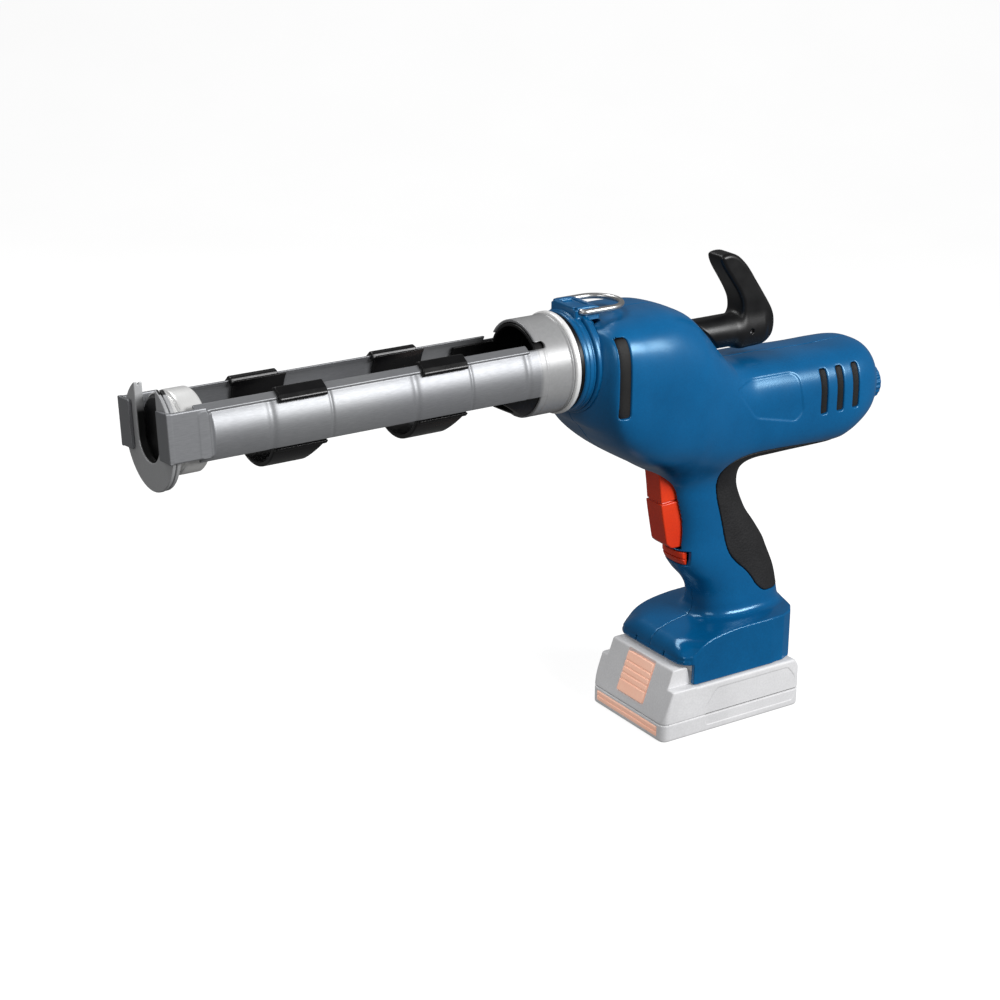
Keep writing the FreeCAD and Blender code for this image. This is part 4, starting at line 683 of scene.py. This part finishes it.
def housing_f(x, y, z):
    f0 = form(x, y, z)
    ay = np.abs(y)
    # shallow bare panel and the bed of the soft grip
    pan = PANEL(x, z)
    f = f0 + 0.5 * sstep(0.9, -0.9, pan)
    sz = SOFT(x, z)
    f = smax(f, -join(sz, -(f0 + 1.5), 0.2), 0.4)
    # wall
    f = np.maximum(f, -(f0 + 2.8))
    # lip of each cooling opening is softened
    f = smax(f, -slots_f(x, y, z), 0.9)
    cut = tubex(x, y, z, 26.0, 0, 22.5)
    cut = np.minimum(cut, boxf(x, y, z, 0, 26.3, -12.6, 12.6, 15, 60, 0.6))
    cut = np.minimum(cut, tubex(x, y, z, 8.25, 80, 126))
    cut = np.minimum(cut, boxf(x, y, z, 55, 112, -8.6, 8.6, -130.6, -75.6, 1.2))
    cut = np.minimum(cut, boxf(x, y, z, 80, 97.2, -13.9, 13.9, -141.0, -131.4, 0.6))
    cut = np.minimum(cut, boxf(x, y, z, 40, 159.6, -31.4, 31.4, -230, -195.6, 0.8))
    cut = np.minimum(cut, boxf(x, y, z, 40, 86.3, -60, 60, -230, -195.6, 0.3))
    cut = np.minimum(cut, tubex(x, y, z, 3.3, 222, 260, 0, 0, -50))
    cut = np.minimum(cut, boxf(x, ay, z, 77, 80.4, 13.6, 14.5, -198, -191.5, 0.2))
    f = smax(f, -cut, 0.5)
    # guide rails of the battery
    f = np.minimum(f, boxf(x, ay, z, 90, 155, 27.2, 32.5, -206, -203, 0.5))
    return f


def half(sign):
    def g(x, y, z):
        f = housing_f(x, y, z)
        f = smax(f, F(-sign) * y + F(0.03), 0.55)
        # screw bores on the right side
        if sign > 0:
            f0 = form(x, y, z)
            for sx, sz in ((36, -37), (150, -75.3), (216, -65), (139, -137), (150, -167)):
                boss = join(np.hypot(x - sx, z - sz) - 5.4, np.maximum(6 - y, y - 60), 0.3)
                f = np.minimum(f, np.maximum(boss, f0 + 0.4))
                f = smax(f, -(join(np.hypot(x - sx, z - sz) - 4.1, 11.6 - y, 0.2)), 0.5)
                f = np.maximum(f, -(np.hypot(x - sx, z - sz) - 2.0))
        return f
    return g


solid("shell_left", half(-1), (12, -45, -211), (240, 1.5, 31), 0.85, "tool", BLUE, ("housing_left",), "blue_plastic")
solid("shell_right", half(1), (12, -1.5, -211), (240, 45, 31), 0.85, "tool", BLUE, ("housing_right",), "blue_plastic")


def liner_f(x, y, z):
    """Slanted louvre behind each cooling opening: deep in front, near the skin behind."""
    f0 = form(x, y, z)
    ay = np.abs(y)
    best = np.full(x.shape, 1e3, F)
    for x0, w, y0, z0, z1 in ((21.6, 7.2, 20, -27.2, 18.6),) + tuple((v, VW, 14, -53.3, -25.8) for v in VENTS):
        t = np.clip((x - F(x0)) / F(w), 0, 1)
        skin = np.abs(f0 + 6.4 - 4.4 * t) - 1.0
        best = np.minimum(best, np.maximum(skin, boxf(x, ay, z, x0 - 1.4, x0 + w + 1.2, y0, 60, z0 - 1.5, z1 + 1.5, 0.4)))
    return best


solid("vent_liner", liner_f, (16, -45, -57), (212, 45, 23), 0.6, "tool", LOUVRE, (), "black_plastic")


def soft_f(x, y, z):
    f0 = form(x, y, z)
    sz = SOFT(x, z)
    f = join(np.maximum(f0 - 0.2, -(f0 + 1.45)), sz + 0.3, 0.8)
    for sx, szz in ((150, -75.3), (139, -137)):
        f = np.maximum(f, -join(np.hypot(x - sx, z - szz) - 4.4, 8.0 - y, 0.3))
    return f


solid("grip_soft", soft_f, (106, -40, -172), (226, 40, -62), 0.75, "tool", RUBBER, ("grip_overmould",), "soft_grip")

# ------------------------------------------------------------------ nose
NOSE = Flat([(10.4, 11), (10.4, 28.6), (10.7, 29.3), (11.2, 29.6), (11.8, 29.6), (12.1, 28.9), (12.5, 28.9), (12.8, 30.4), (13.3, 31.0), (15.0, 31.0), (15.5, 30.4), (15.8, 29.9),
             (17.5, 29.9), (17.5, 25.9), (22, 25.9), (22, 20), (15, 20), (15, 11)], 0.1)


def nose_f(x, y, z):
    r = np.hypot(y, z)
    d = NOSE(x, r)
    ay = np.abs(y)
    lug = boxf(x, y, z, 9, 26, -12.3, 12.3, 22.5, 33.2, 1.2)
    lug = smax(lug, (z - 33.2 + (x - 21) * 0.25) * 0.95, 0.8)
    f = smin(d, np.maximum(lug, -(r - 27.8)), 0.9)
    f = smax(f, -boxf(x, y, z, 11.8, 21.0, -8.2, 8.2, 31.7, 45, 0.9), 0.4)
    f = smax(f, -boxf(x, ay, z, 8.0, 10.6, 9.8, 20, 31.6, 45, 0.4), 0.4)
    f = np.maximum(f, -(np.hypot(x - 13, z - 30.6) - 1.78))
    return f


solid("nose_rings", nose_f, (7, -34, -34), (29, 34, 36), 0.45, "tool", BLUE, ("nose_ring",), "blue_plastic")
lathe("neck_band", [(-3.7, 22.95), (-3.7, 25.5), (-1.3, 25.5), (-1.3, 24.1), (3.1, 24.1), (3.1, 27.0), (3.7, 27.6), (6.2, 27.6), (6.6, 26.9), (7.2, 26.9), (7.6, 27.6), (10.4, 27.6), (10.4, 11),
                    (1.6, 11), (1.6, 22.95)], "tool", DEEP, 0.25, replaces=("swivel_bush",), slot="black_plastic")
lathe("nose_step", [(5.8, 26.0), (5.8, 28.0), (6.4, 28.6), (8.2, 28.8), (8.6, 29.3), (10.8, 29.3), (10.8, 26.0)], "tool", BLUE, 0.3, slot="blue_plastic")
lathe("bright_ring", [(-1, 24.2), (-1, 28.5), (-0.2, 29.4), (2.0, 29.4), (2.8, 28.5), (2.8, 24.2)], "holder", RING_WHITE, 0.6, replaces=("retaining_ring",), slot="bright_ring")


def wire(name, pts, r, body, mat, seg=20, **kw):
    """A round wire along a fine polyline."""
    p = np.array(pts, float)
    t = np.gradient(p, axis=0)
    t /= np.linalg.norm(t, axis=1, keepdims=True)
    up = np.array([0, 0, 1.0])
    s = np.cross(t, up)
    s /= np.maximum(np.linalg.norm(s, axis=1, keepdims=True), 1e-9)
    w = np.cross(s, t)
    a = np.arange(seg) * 2 * math.pi / seg
    v = p[:, None] + r * (np.cos(a)[None, :, None] * s[:, None] + np.sin(a)[None, :, None] * w[:, None])
    m = len(p)
    i = np.arange(m - 1)[:, None] * seg
    j = np.arange(seg)[None]
    j2 = (np.arange(seg)[None] + 1) % seg
    q = np.stack([i + j, i + j2, i + seg + j2, i + seg + j], -1).reshape(-1, 4)
    v = v.reshape(-1, 3)
    c0, c1 = len(v), len(v) + 1
    v = np.concatenate([v, p[:1], p[-1:]])
    cap = [[c0, (k + 1) % seg, k, k] for k in range(seg)] + [[c1, (m - 1) * seg + k, (m - 1) * seg + (k + 1) % seg, (m - 1) * seg + (k + 1) % seg] for k in range(seg)]
    tri = [c[:3] for c in cap]
    o = make(name, v, None, q, body, mat, **kw)
    me = o.data
    import bmesh
    bm = bmesh.new()
    bm.from_mesh(me)
    bm.verts.ensure_lookup_table()
    for c in tri:
        f = bm.faces.new([bm.verts[k] for k in c])
        f.smooth = True
    bmesh.ops.recalc_face_normals(bm, faces=bm.faces)
    bm.to_mesh(me)
    bm.free()
    return o


def arc(cx, cy, r, a0, a1, n):
    return [(cx + r * math.cos(math.radians(a0 + (a1 - a0) * i / n)), cy + r * math.sin(math.radians(a0 + (a1 - a0) * i / n))) for i in range(n + 1)]


DH, DX, DLEG, BEND = 14.4, 13.0, 19.0, 2.6
path = [(DX, -9.0), (DX, -10.0), (DX, -11.0)] + arc(DX + BEND, -DH + BEND, BEND, 180, 270, 10)
path += [(DX + BEND + i * (DLEG - BEND) / 5, -DH) for i in range(1, 5)] + arc(DX + DLEG, 0, DH, -90, 90, 48)
path += [(DX + DLEG - i * (DLEG - BEND) / 5, DH) for i in range(1, 5)] + arc(DX + BEND, DH - BEND, BEND, 90, 180, 10) + [(DX, 11.0), (DX, 10.0), (DX, 9.0)]
wire("carry_ring", [(a, b, 30.6) for a, b in path], 1.7, "ring", BRIGHT, replaces=("d_ring",), slot="bright_ring")

# ------------------------------------------------------------------ cartridge holder, in its own turned frame
BEADS = [(-189.0, -0.55, 2.2), (-154.0, -0.35, 1.0), (-103.0, -0.55, 2.2), (-68.0, -0.35, 1.0), (-31.4, -0.5, 2.0), (-19.0, -0.15, 0.6)]


def holder_f(x, y, z):
    ay = np.abs(y)
    r = np.hypot(y, z)
    off = np.zeros_like(x)
    for bx, a, w in BEADS:
        off = off + F(a) * np.exp(-((x - F(bx)) / F(w)) ** 2)
    wall = np.abs(r - (27.1 + off)) - 0.85
    rail = join(wall, np.maximum(np.maximum(z - 14.2, -12.3 - z), np.maximum(F(-230.0) - x, x + 18.0)), 0.35)
    lip = join(seg2(ay, z, (24.3, 13.7), (20.9, 16.1)) - 0.8, np.maximum(F(-230.0) - x, x + 29.0), 0.3)
    f = smin(rail, lip, 0.5)
    col = join(wall, np.maximum(F(-23.0) - x, x + 1.0), 0.4)
    # rounded notch where each rail runs into the collar
    notch = np.maximum(np.hypot(np.maximum(x + 19.2, 0), z - 15.9) - 2.0, -(r - 18.0))
    col = smax(col, -notch, 0.4)
    f = smin(f, col, 0.5)
    # rear rolled edge of the collar
    f = smin(f, np.hypot(r - 27.75, x + 2.2) - 0.7, 0.5)
    br = boxf(x, ay, z, -248.6, -226, 27.8, 29.8, -9.4, 16.6, 0.7)
    fl = boxf(x, ay, z, -248.6, -246.3, 17.0, 29.8, -9.4, 16.6, 0.6)
    jog = boxf(x, ay, z, -230, -223, 25.9, 29.3, -9.4, 13.8, 1.2)
    f = smin(f, smin(smin(br, fl, 1.2), jog, 2.5), 2.2)
    f = np.maximum(f, -(np.maximum(r - 26.1, -246.3 - x)))
    return np.maximum(np.maximum(f, -248.5 - x), ay - 29.9)


solid("holder_sheet", holder_f, (-250, -32, -31), (1, 32, 31), 0.6, "holder", GREY, ("holder_frame",), "holder_grey", roll=True)


def plate_f(x, y, z):
    r = np.hypot(y, z)
    a = join(r - 29.2, np.maximum(F(-246.1) - x, x + 244.1), 0.5)
    b = join(r - 28.9, np.maximum(F(-243.4) - x, x + 241.3), 0.45)
    c = join(r - 27.9, np.maximum(F(-245.0) - x, x + 242.6), 0.1)
    f = np.minimum(np.minimum(a, b), c)
    slot = np.minimum(np.hypot(y, z + 1.2) - 12.8, np.maximum(np.abs(y) - 12.8, -1.2 - z))
    f = smax(f, -slot, 0.6)
    f = np.maximum(f, np.where((z > -9.8) & (z < 17.0), np.abs(y) - 27.7, -5.0))
    return f


solid("slotted_plate", plate_f, (-248, -31, -31), (-240, 31, 31), 0.45, "holder", GREY_PLATE, ("end_plate",), "holder_grey", roll=True)


def saddle_f(x0):
    def g(x, y, z):
        ay = np.abs(y)
        r = np.hypot(y, z)
        tail = 31.0 - 7.0 * sstep(-11.0, -25.0, z)
        ends = np.maximum(F(x0) - x, x - F(x0) - tail)
        band = join(np.maximum(np.abs(r - 25.0) - 1.05, z - 16.2), ends, 0.5)
        low = join(np.maximum(np.abs(r - 25.1) - 1.2, z + 12.4), ends, 0.7)
        rib = join(np.maximum(np.abs(r - 27.0) - 1.4, np.abs(z + 13.8) - 0.9), ends, 0.4)
        tab = np.minimum(np.minimum(seg2(ay, z, (26.4, 12.8), (25.2, 14.7)), seg2(ay, z, (25.2, 14.7), (21.6, 17.4))),
                         np.minimum(seg2(ay, z, (21.6, 17.4), (19.9, 16.9)), seg2(ay, z, (19.9, 16.9), (19.6, 15.2)))) - 1.55
        lead = np.where(y < 0, F(3.0), F(-2.0))
        tab = join(tab, np.maximum(F(x0) + lead - x, x - (F(x0) + lead + 28.0)), 0.7)
        f = smin(smin(band, low, 0.6), tab, 0.7)
        f = smin(f, rib, 0.5)
        return np.maximum(f, -(r - 23.9))
    return g


solid("saddle_a", saddle_f(-187.0), (-191, -31, -31), (-154, 31, 23), 0.5, "holder", BLACK, ("saddle_front",), "black_plastic", roll=True)
solid("saddle_b", saddle_f(-101.0), (-105, -31, -31), (-68, 31, 23), 0.5, "holder", BLACK, ("saddle_rear",), "black_plastic", roll=True)


def seat_f(x, y, z):
    r = np.hypot(y, z)
    ends = np.maximum(F(-50.0) - x, x + 4.5)
    outer = np.where(z < -12.6, 26.9, 25.9)
    d = join(np.maximum(r - outer, 23.7 - r), ends, 0.4)
    # painted shade: the cup in the collar is a real part, but its arms carry the dark colour forward along the inside
    # of both rails, standing where the rails' insides lie in shade
    low = -(10.5 + (x + 50.0) * 0.62) - z
    arm = np.maximum(np.maximum(z - 13.2, low), np.maximum(F(-50) - x, x + 20.0))
    ring = np.maximum(F(-23.2) - x, x + 4.5)
    d = smax(d, np.minimum(arm, ring), 0.6)
    rim = join(np.abs(r - 24.8) - 0.9, np.abs(x + 22.6) - 0.9, 0.4)
    return np.minimum(d, rim)


solid("seat_liner", seat_f, (-52, -29, -29), (-3, 29, 29), 0.5, "holder", DEEP, ("cartridge_seat",), "black_plastic", roll=True)

# ------------------------------------------------------------------ plunger on the rod
QX = -240.5
lathe("plunger_body", [(QX + 1.6, 7.05), (QX + 1.6, 21.0), (QX + 2.2, 21.8), (QX + 3.6, 21.8), (QX + 4.0, 20.8), (QX + 5.4, 20.8), (QX + 5.8, 22.2), (QX + 7.0, 22.4), (QX + 17.8, 22.4),
                       (QX + 19, 21.4), (QX + 19, 19.8), (QX + 9, 19.0), (QX + 9, 10.4), (QX + 19, 10.4), (QX + 19, 7.05)], "rod", ALLOY, 0.35, 160, replaces=("piston",), slot="plunger_alloy")

# ------------------------------------------------------------------ pull hook
HOOK_SIDE = Flat(curve([
    (131.5, -9.6), (140, -10.0), (149, -9.4), (154.6, -7.0), (157.4, -2.2), (157.7, 5.2), (155.4, 11.9), (149.4, 21.0), (143.3, 29.9), (139.4, 35.8), (135.4, 41.0), (129.8, 46.0),
    (124.0, 48.3), (118.0, 47.9), (116.5, 45.4), (118.9, 39.8), (124.4, 31.9), (129.8, 23.9), (132.9, 17.2), (133.4, 10.2), (132.2, 0),
], 5))


def hook_f(x, y, z):
    ay = np.abs(y)
    w = 9.0 - 1.2 * sstep(20, 48, z)
    limb = join(HOOK_SIDE(x, z), ay - w, 2.8)
    r = np.hypot(y, z)
    arm = join(r - 10.0, np.maximum(F(98.0) - x, x - F(150.0)), 1.5)
    slope = -((x - 99.5) * 0.731 + (z - 10.0) * 0.682)
    arm = smax(arm, slope, 1.2)
    f = smin(arm, limb, 5.0)
    f = np.maximum(f, -np.maximum(r - 7.0, x - F(146.0)))
    f = np.maximum(f, -(np.hypot(x - 139.0, z) - 1.5))
    return f


solid("pull_hook_moulded", hook_f, (96, -12, -13), (161, 12, 51), 0.55, "rod", HOOK, ("pull_hook",), "black_plastic")

# ------------------------------------------------------------------ trigger and lock
TRIG = Flat(rounded([
    (74.2, -77.2), (75.4, -82), (76.4, -89.0), (77.5, -98.4), (78.2, -102.4), (79.6, -110), (82.8, -125.6), (86.8, -128.9), (101.5, -128.9), (101.5, -77.0),
], 1.4, 4))


def trigger_f(x, y, z):
    ay = np.abs(y)
    low = sstep(-98.2, -99.4, z)
    d2 = TRIG(x, z)
    f = join(d2 + 0.5 - 0.5 * low, ay - (7.4 + 0.5 * low), 0.9)
    line = -98.8 + (x - 77.5) * 0.05
    f = smax(f, -np.maximum(np.abs(z - line) - 0.55, -(f + 1.3)), 0.4)
    f = np.maximum(f, -boxf(x, y, z, 91.5, 110, -6, 6, -124, -80, 0.5))
    return np.minimum(f, join(np.hypot(y, z + 100) - 4.6, np.maximum(91.0 - x, x - 100.0), 0.2))


solid("trigger_moulded", trigger_f, (66, -11, -131), (104, 11, -75), 0.5, "trigger", RED, ("trigger",), "red_plastic")


def lock_f(x, y, z):
    f = boxf(x, y, z, 85, 96.6, -10.4, 10.4, -140.4, -132.0, 0.5)
    f = smax(f, form(x, y, z) + 0.25, 0.6)
    f = smax(f, -join(np.abs(z + 136.0 + (x - 92.0) * 0.3) - 0.35, -(form(x, y, z) + 1.3), 0.1), 0.3)
    return f


solid("lock_bar", lock_f, (88, -13, -143), (102, 13, -130), 0.4, "lock", RED, ("lock_button",), "red_plastic")


def dial_f(x, y, z):
    r = np.hypot(y, z + 50.0)
    a = np.arctan2(z + 50.0, y)
    fl = 0.55 * (0.5 + 0.5 * np.cos(a * 22))
    dome = 246.2 - 1.6 * (r / 12.0) ** 2
    d = join(r - (12.0 - fl * sstep(245.6, 243.5, x)), np.maximum(234.2 - x, (x - dome) * 0.95), 1.2)
    d = smax(d, -(np.hypot(r - 7.6, x - 246.2) - 0.9), 0.5)
    d = smax(d, -boxf(x, y, z, 244.6, 250, -0.7, 0.7, -44.6, -40, 0.2), 0.3)
    return np.minimum(d, tubex(x, y, z, 3.05, 222, 240, 0.2, 0, -50))


solid("speed_wheel", dial_f, (220, -14, -64), (249, 14, -36), 0.45, "dial", BLUE, ("speed_dial",), "blue_plastic")

# ------------------------------------------------------------------ battery
PACK = Flat(rounded([(63, -241), (167.5, -241), (170.5, -238), (170.5, -217), (164.5, -209.2), (87.5, -209.2), (84, -197.5), (73.5, -197.5), (61.5, -231), (61.5, -239.5)], 1.6))
PACK_SIDE = Flat(rounded([(95, -236.6), (163, -236.6), (165, -234), (165, -221), (159, -213.4), (103, -213.4), (95, -224)], 2.5))
WELL = Flat([(61.06, -223.4), (70.4, -197.25), (78.9, -200.3), (69.5, -226.4)])
LATCH = Flat([(63.31, -223.58), (71.84, -199.77), (75.59, -201.12), (67.06, -224.93)])


def pack_f(x, y, z):
    ay = np.abs(y)
    d2 = PACK(x, z)
    f = join(d2, ay - 37.4, 2.0)
    qx = np.abs(x - 116.0) - (54.4 - 7.0)
    qy = ay - (37.4 - 7.0)
    plan = np.hypot(np.maximum(qx, 0), np.maximum(qy, 0)) + np.minimum(np.maximum(qx, qy), 0) - 7.0
    f = smax(f, plan, 1.2)
    # shoulders beside the front block
    f = smax(f, -np.maximum(np.maximum(30.9 - ay, -208.9 - z), x - 90.0), 1.0)
    f = smax(f, -join(PACK_SIDE(x, z), 36.8 - ay, 0.2), 0.5)
    f = smax(f, -np.maximum(np.abs(z + 229.6 + 0.0 * x) - 0.4, -(f + 0.5)), 0.3)
    f = smax(f, -join(WELL(x, z), ay - 13.4, 0.6), 0.8)
    f = np.maximum(f, -boxf(x, y, z, 59, 64.6, -31, 31, -238.1, -231.5, 0.2))
    # slots along the back
    for k in range(4):
        f = smax(f, -boxf(x, ay, z, 169.6, 175, 6 + k * 6, 9 + k * 6, -235, -221, 0.6), 0.4)
    return f


solid("pack_case", pack_f, (58, -39, -243), (173, 39, -195), 0.7, "battery", PALE, ("battery_case",), "pale_grey")


def latch_f(x, y, z):
    f = join(LATCH(x, z), np.abs(y) - 12.9, 0.9)
    t = (x - 61.5) * 0.337 + (z + 231) * 0.941
    for k in range(4):
        f = smax(f, -np.maximum(np.abs(t - (15.0 + k * 4.0)) - 0.5, -(f + 0.5)), 0.35)
    return f


solid("latch_moulded", latch_f, (60, -15, -227), (79, 15, -197), 0.45, "latch", SALMON, ("latch_button",), "pale_salmon")


def strip_f(x, y, z):
    f = boxf(x, y, z, 61.5, 64.5, -30.7, 30.7, -238.0, -231.6, 0.8)
    return smax(f, -np.maximum(np.abs(z + 234.8) - 0.4, -(f + 0.5)), 0.3)


solid("pack_strip", strip_f, (60, -32, -240), (66, 32, -230), 0.45, "battery", SALMON, ("battery_bumper",), "pale_salmon")

# ------------------------------------------------------------------ stage
fm, ft, fb = nodes_of("stage_white")
ft.links.new(ramp(ft, noise(ft, 6, 3), [(0.3, (0.30, 0.30, 0.30)), (0.7, (0.32, 0.32, 0.32))]), fb.inputs["Base Color"])
fb.inputs["Roughness"].default_value = 0.7
fb.inputs["Emission Color"].default_value = (1, 1, 1, 1)
fb.inputs["Emission Strength"].default_value = 0.8
prof = [(-4.0, 0.0)] + [(1.2, 0.0)] + [(1.2 + 1.2 * math.sin(a), 1.2 - 1.2 * math.cos(a)) for a in np.linspace(0.05, math.pi / 2, 24)] + [(2.4, 4.0)]
dirn = Vector((0.54833, 0.83627, 0.0))
side = Vector((dirn.y, -dirn.x, 0.0))
vs, fs = [], []
for i, (a, b) in enumerate(prof):
    for s in (-5.0, 5.0):
        p = dirn * a + side * s
        vs.append((p.x, p.y, b))
for i in range(len(prof) - 1):
    fs.append((2 * i, 2 * i + 1, 2 * i + 3, 2 * i + 2))
me = bpy.data.meshes.new("stage_sweep")
me.from_pydata(vs, [], fs)
me.polygons.foreach_set("use_smooth", [True] * len(fs))
st = bpy.data.objects.new("stage_sweep", me)
me.materials.append(fm)
bpy.context.scene.collection.objects.link(st)
# the sweep only backs the picture: it throws no light back at the tool
st.visible_diffuse = False
st.visible_glossy = False
bpy.data.objects["trigger_moulded"].visible_glossy = False

scene = bpy.context.scene
scene.view_settings.view_transform = "Standard"
scene.view_settings.look = "None"
w = bpy.data.worlds.new("studio") if scene.world is None else scene.world
scene.world = w
w.use_nodes = True
bg = w.node_tree.nodes.get("Background")
bg.inputs["Color"].default_value = (1.0, 1.0, 1.0, 1)
bg.inputs["Strength"].default_value = 0.15


def lamp(name, loc, target, size, size_y, power, col=(1, 1, 1)):
    d = bpy.data.lights.new(name, "AREA")
    d.shape = "RECTANGLE"
    d.size, d.size_y, d.energy, d.color = size, size_y, power, col
    o = bpy.data.objects.new(name, d)
    o.location = loc
    o.rotation_mode = "QUATERNION"
    o.rotation_quaternion = (Vector(target) - Vector(loc)).to_track_quat("-Z", "Y")
    scene.collection.objects.link(o)
    return o


lamp("key", (0.60, -1.32, 0.96), (-0.03, 0, 0.2), 1.0, 0.6, 36)
lamp("top", (-0.40, 0.85, 1.60), (-0.05, 0, 0.15), 1.1, 0.5, 13)
lamp("side", (-1.3, -0.7, 0.9), (-0.05, 0, 0.2), 0.8, 0.8, 6)

cam = bpy.data.cameras.new("cam")
cam.sensor_width = 36.0
cam.lens = 79.863
cam.clip_start, cam.clip_end = 0.05, 50
co = bpy.data.objects.new("cam", cam)
R = Vector((0.83779, -0.54594, 0.00771))
U = Vector((0.18418, 0.29587, 0.93731))
Bk = Vector((-0.51400, -0.78384, 0.34842))
m = Matrix.Identity(4)
for i in range(3):
    m[i][0], m[i][1], m[i][2] = R[i], U[i], Bk[i]
m[0][3], m[1][3], m[2][3] = -0.797425, -0.990146, 0.604599
co.matrix_world = m
scene.collection.objects.link(co)
scene.camera = co
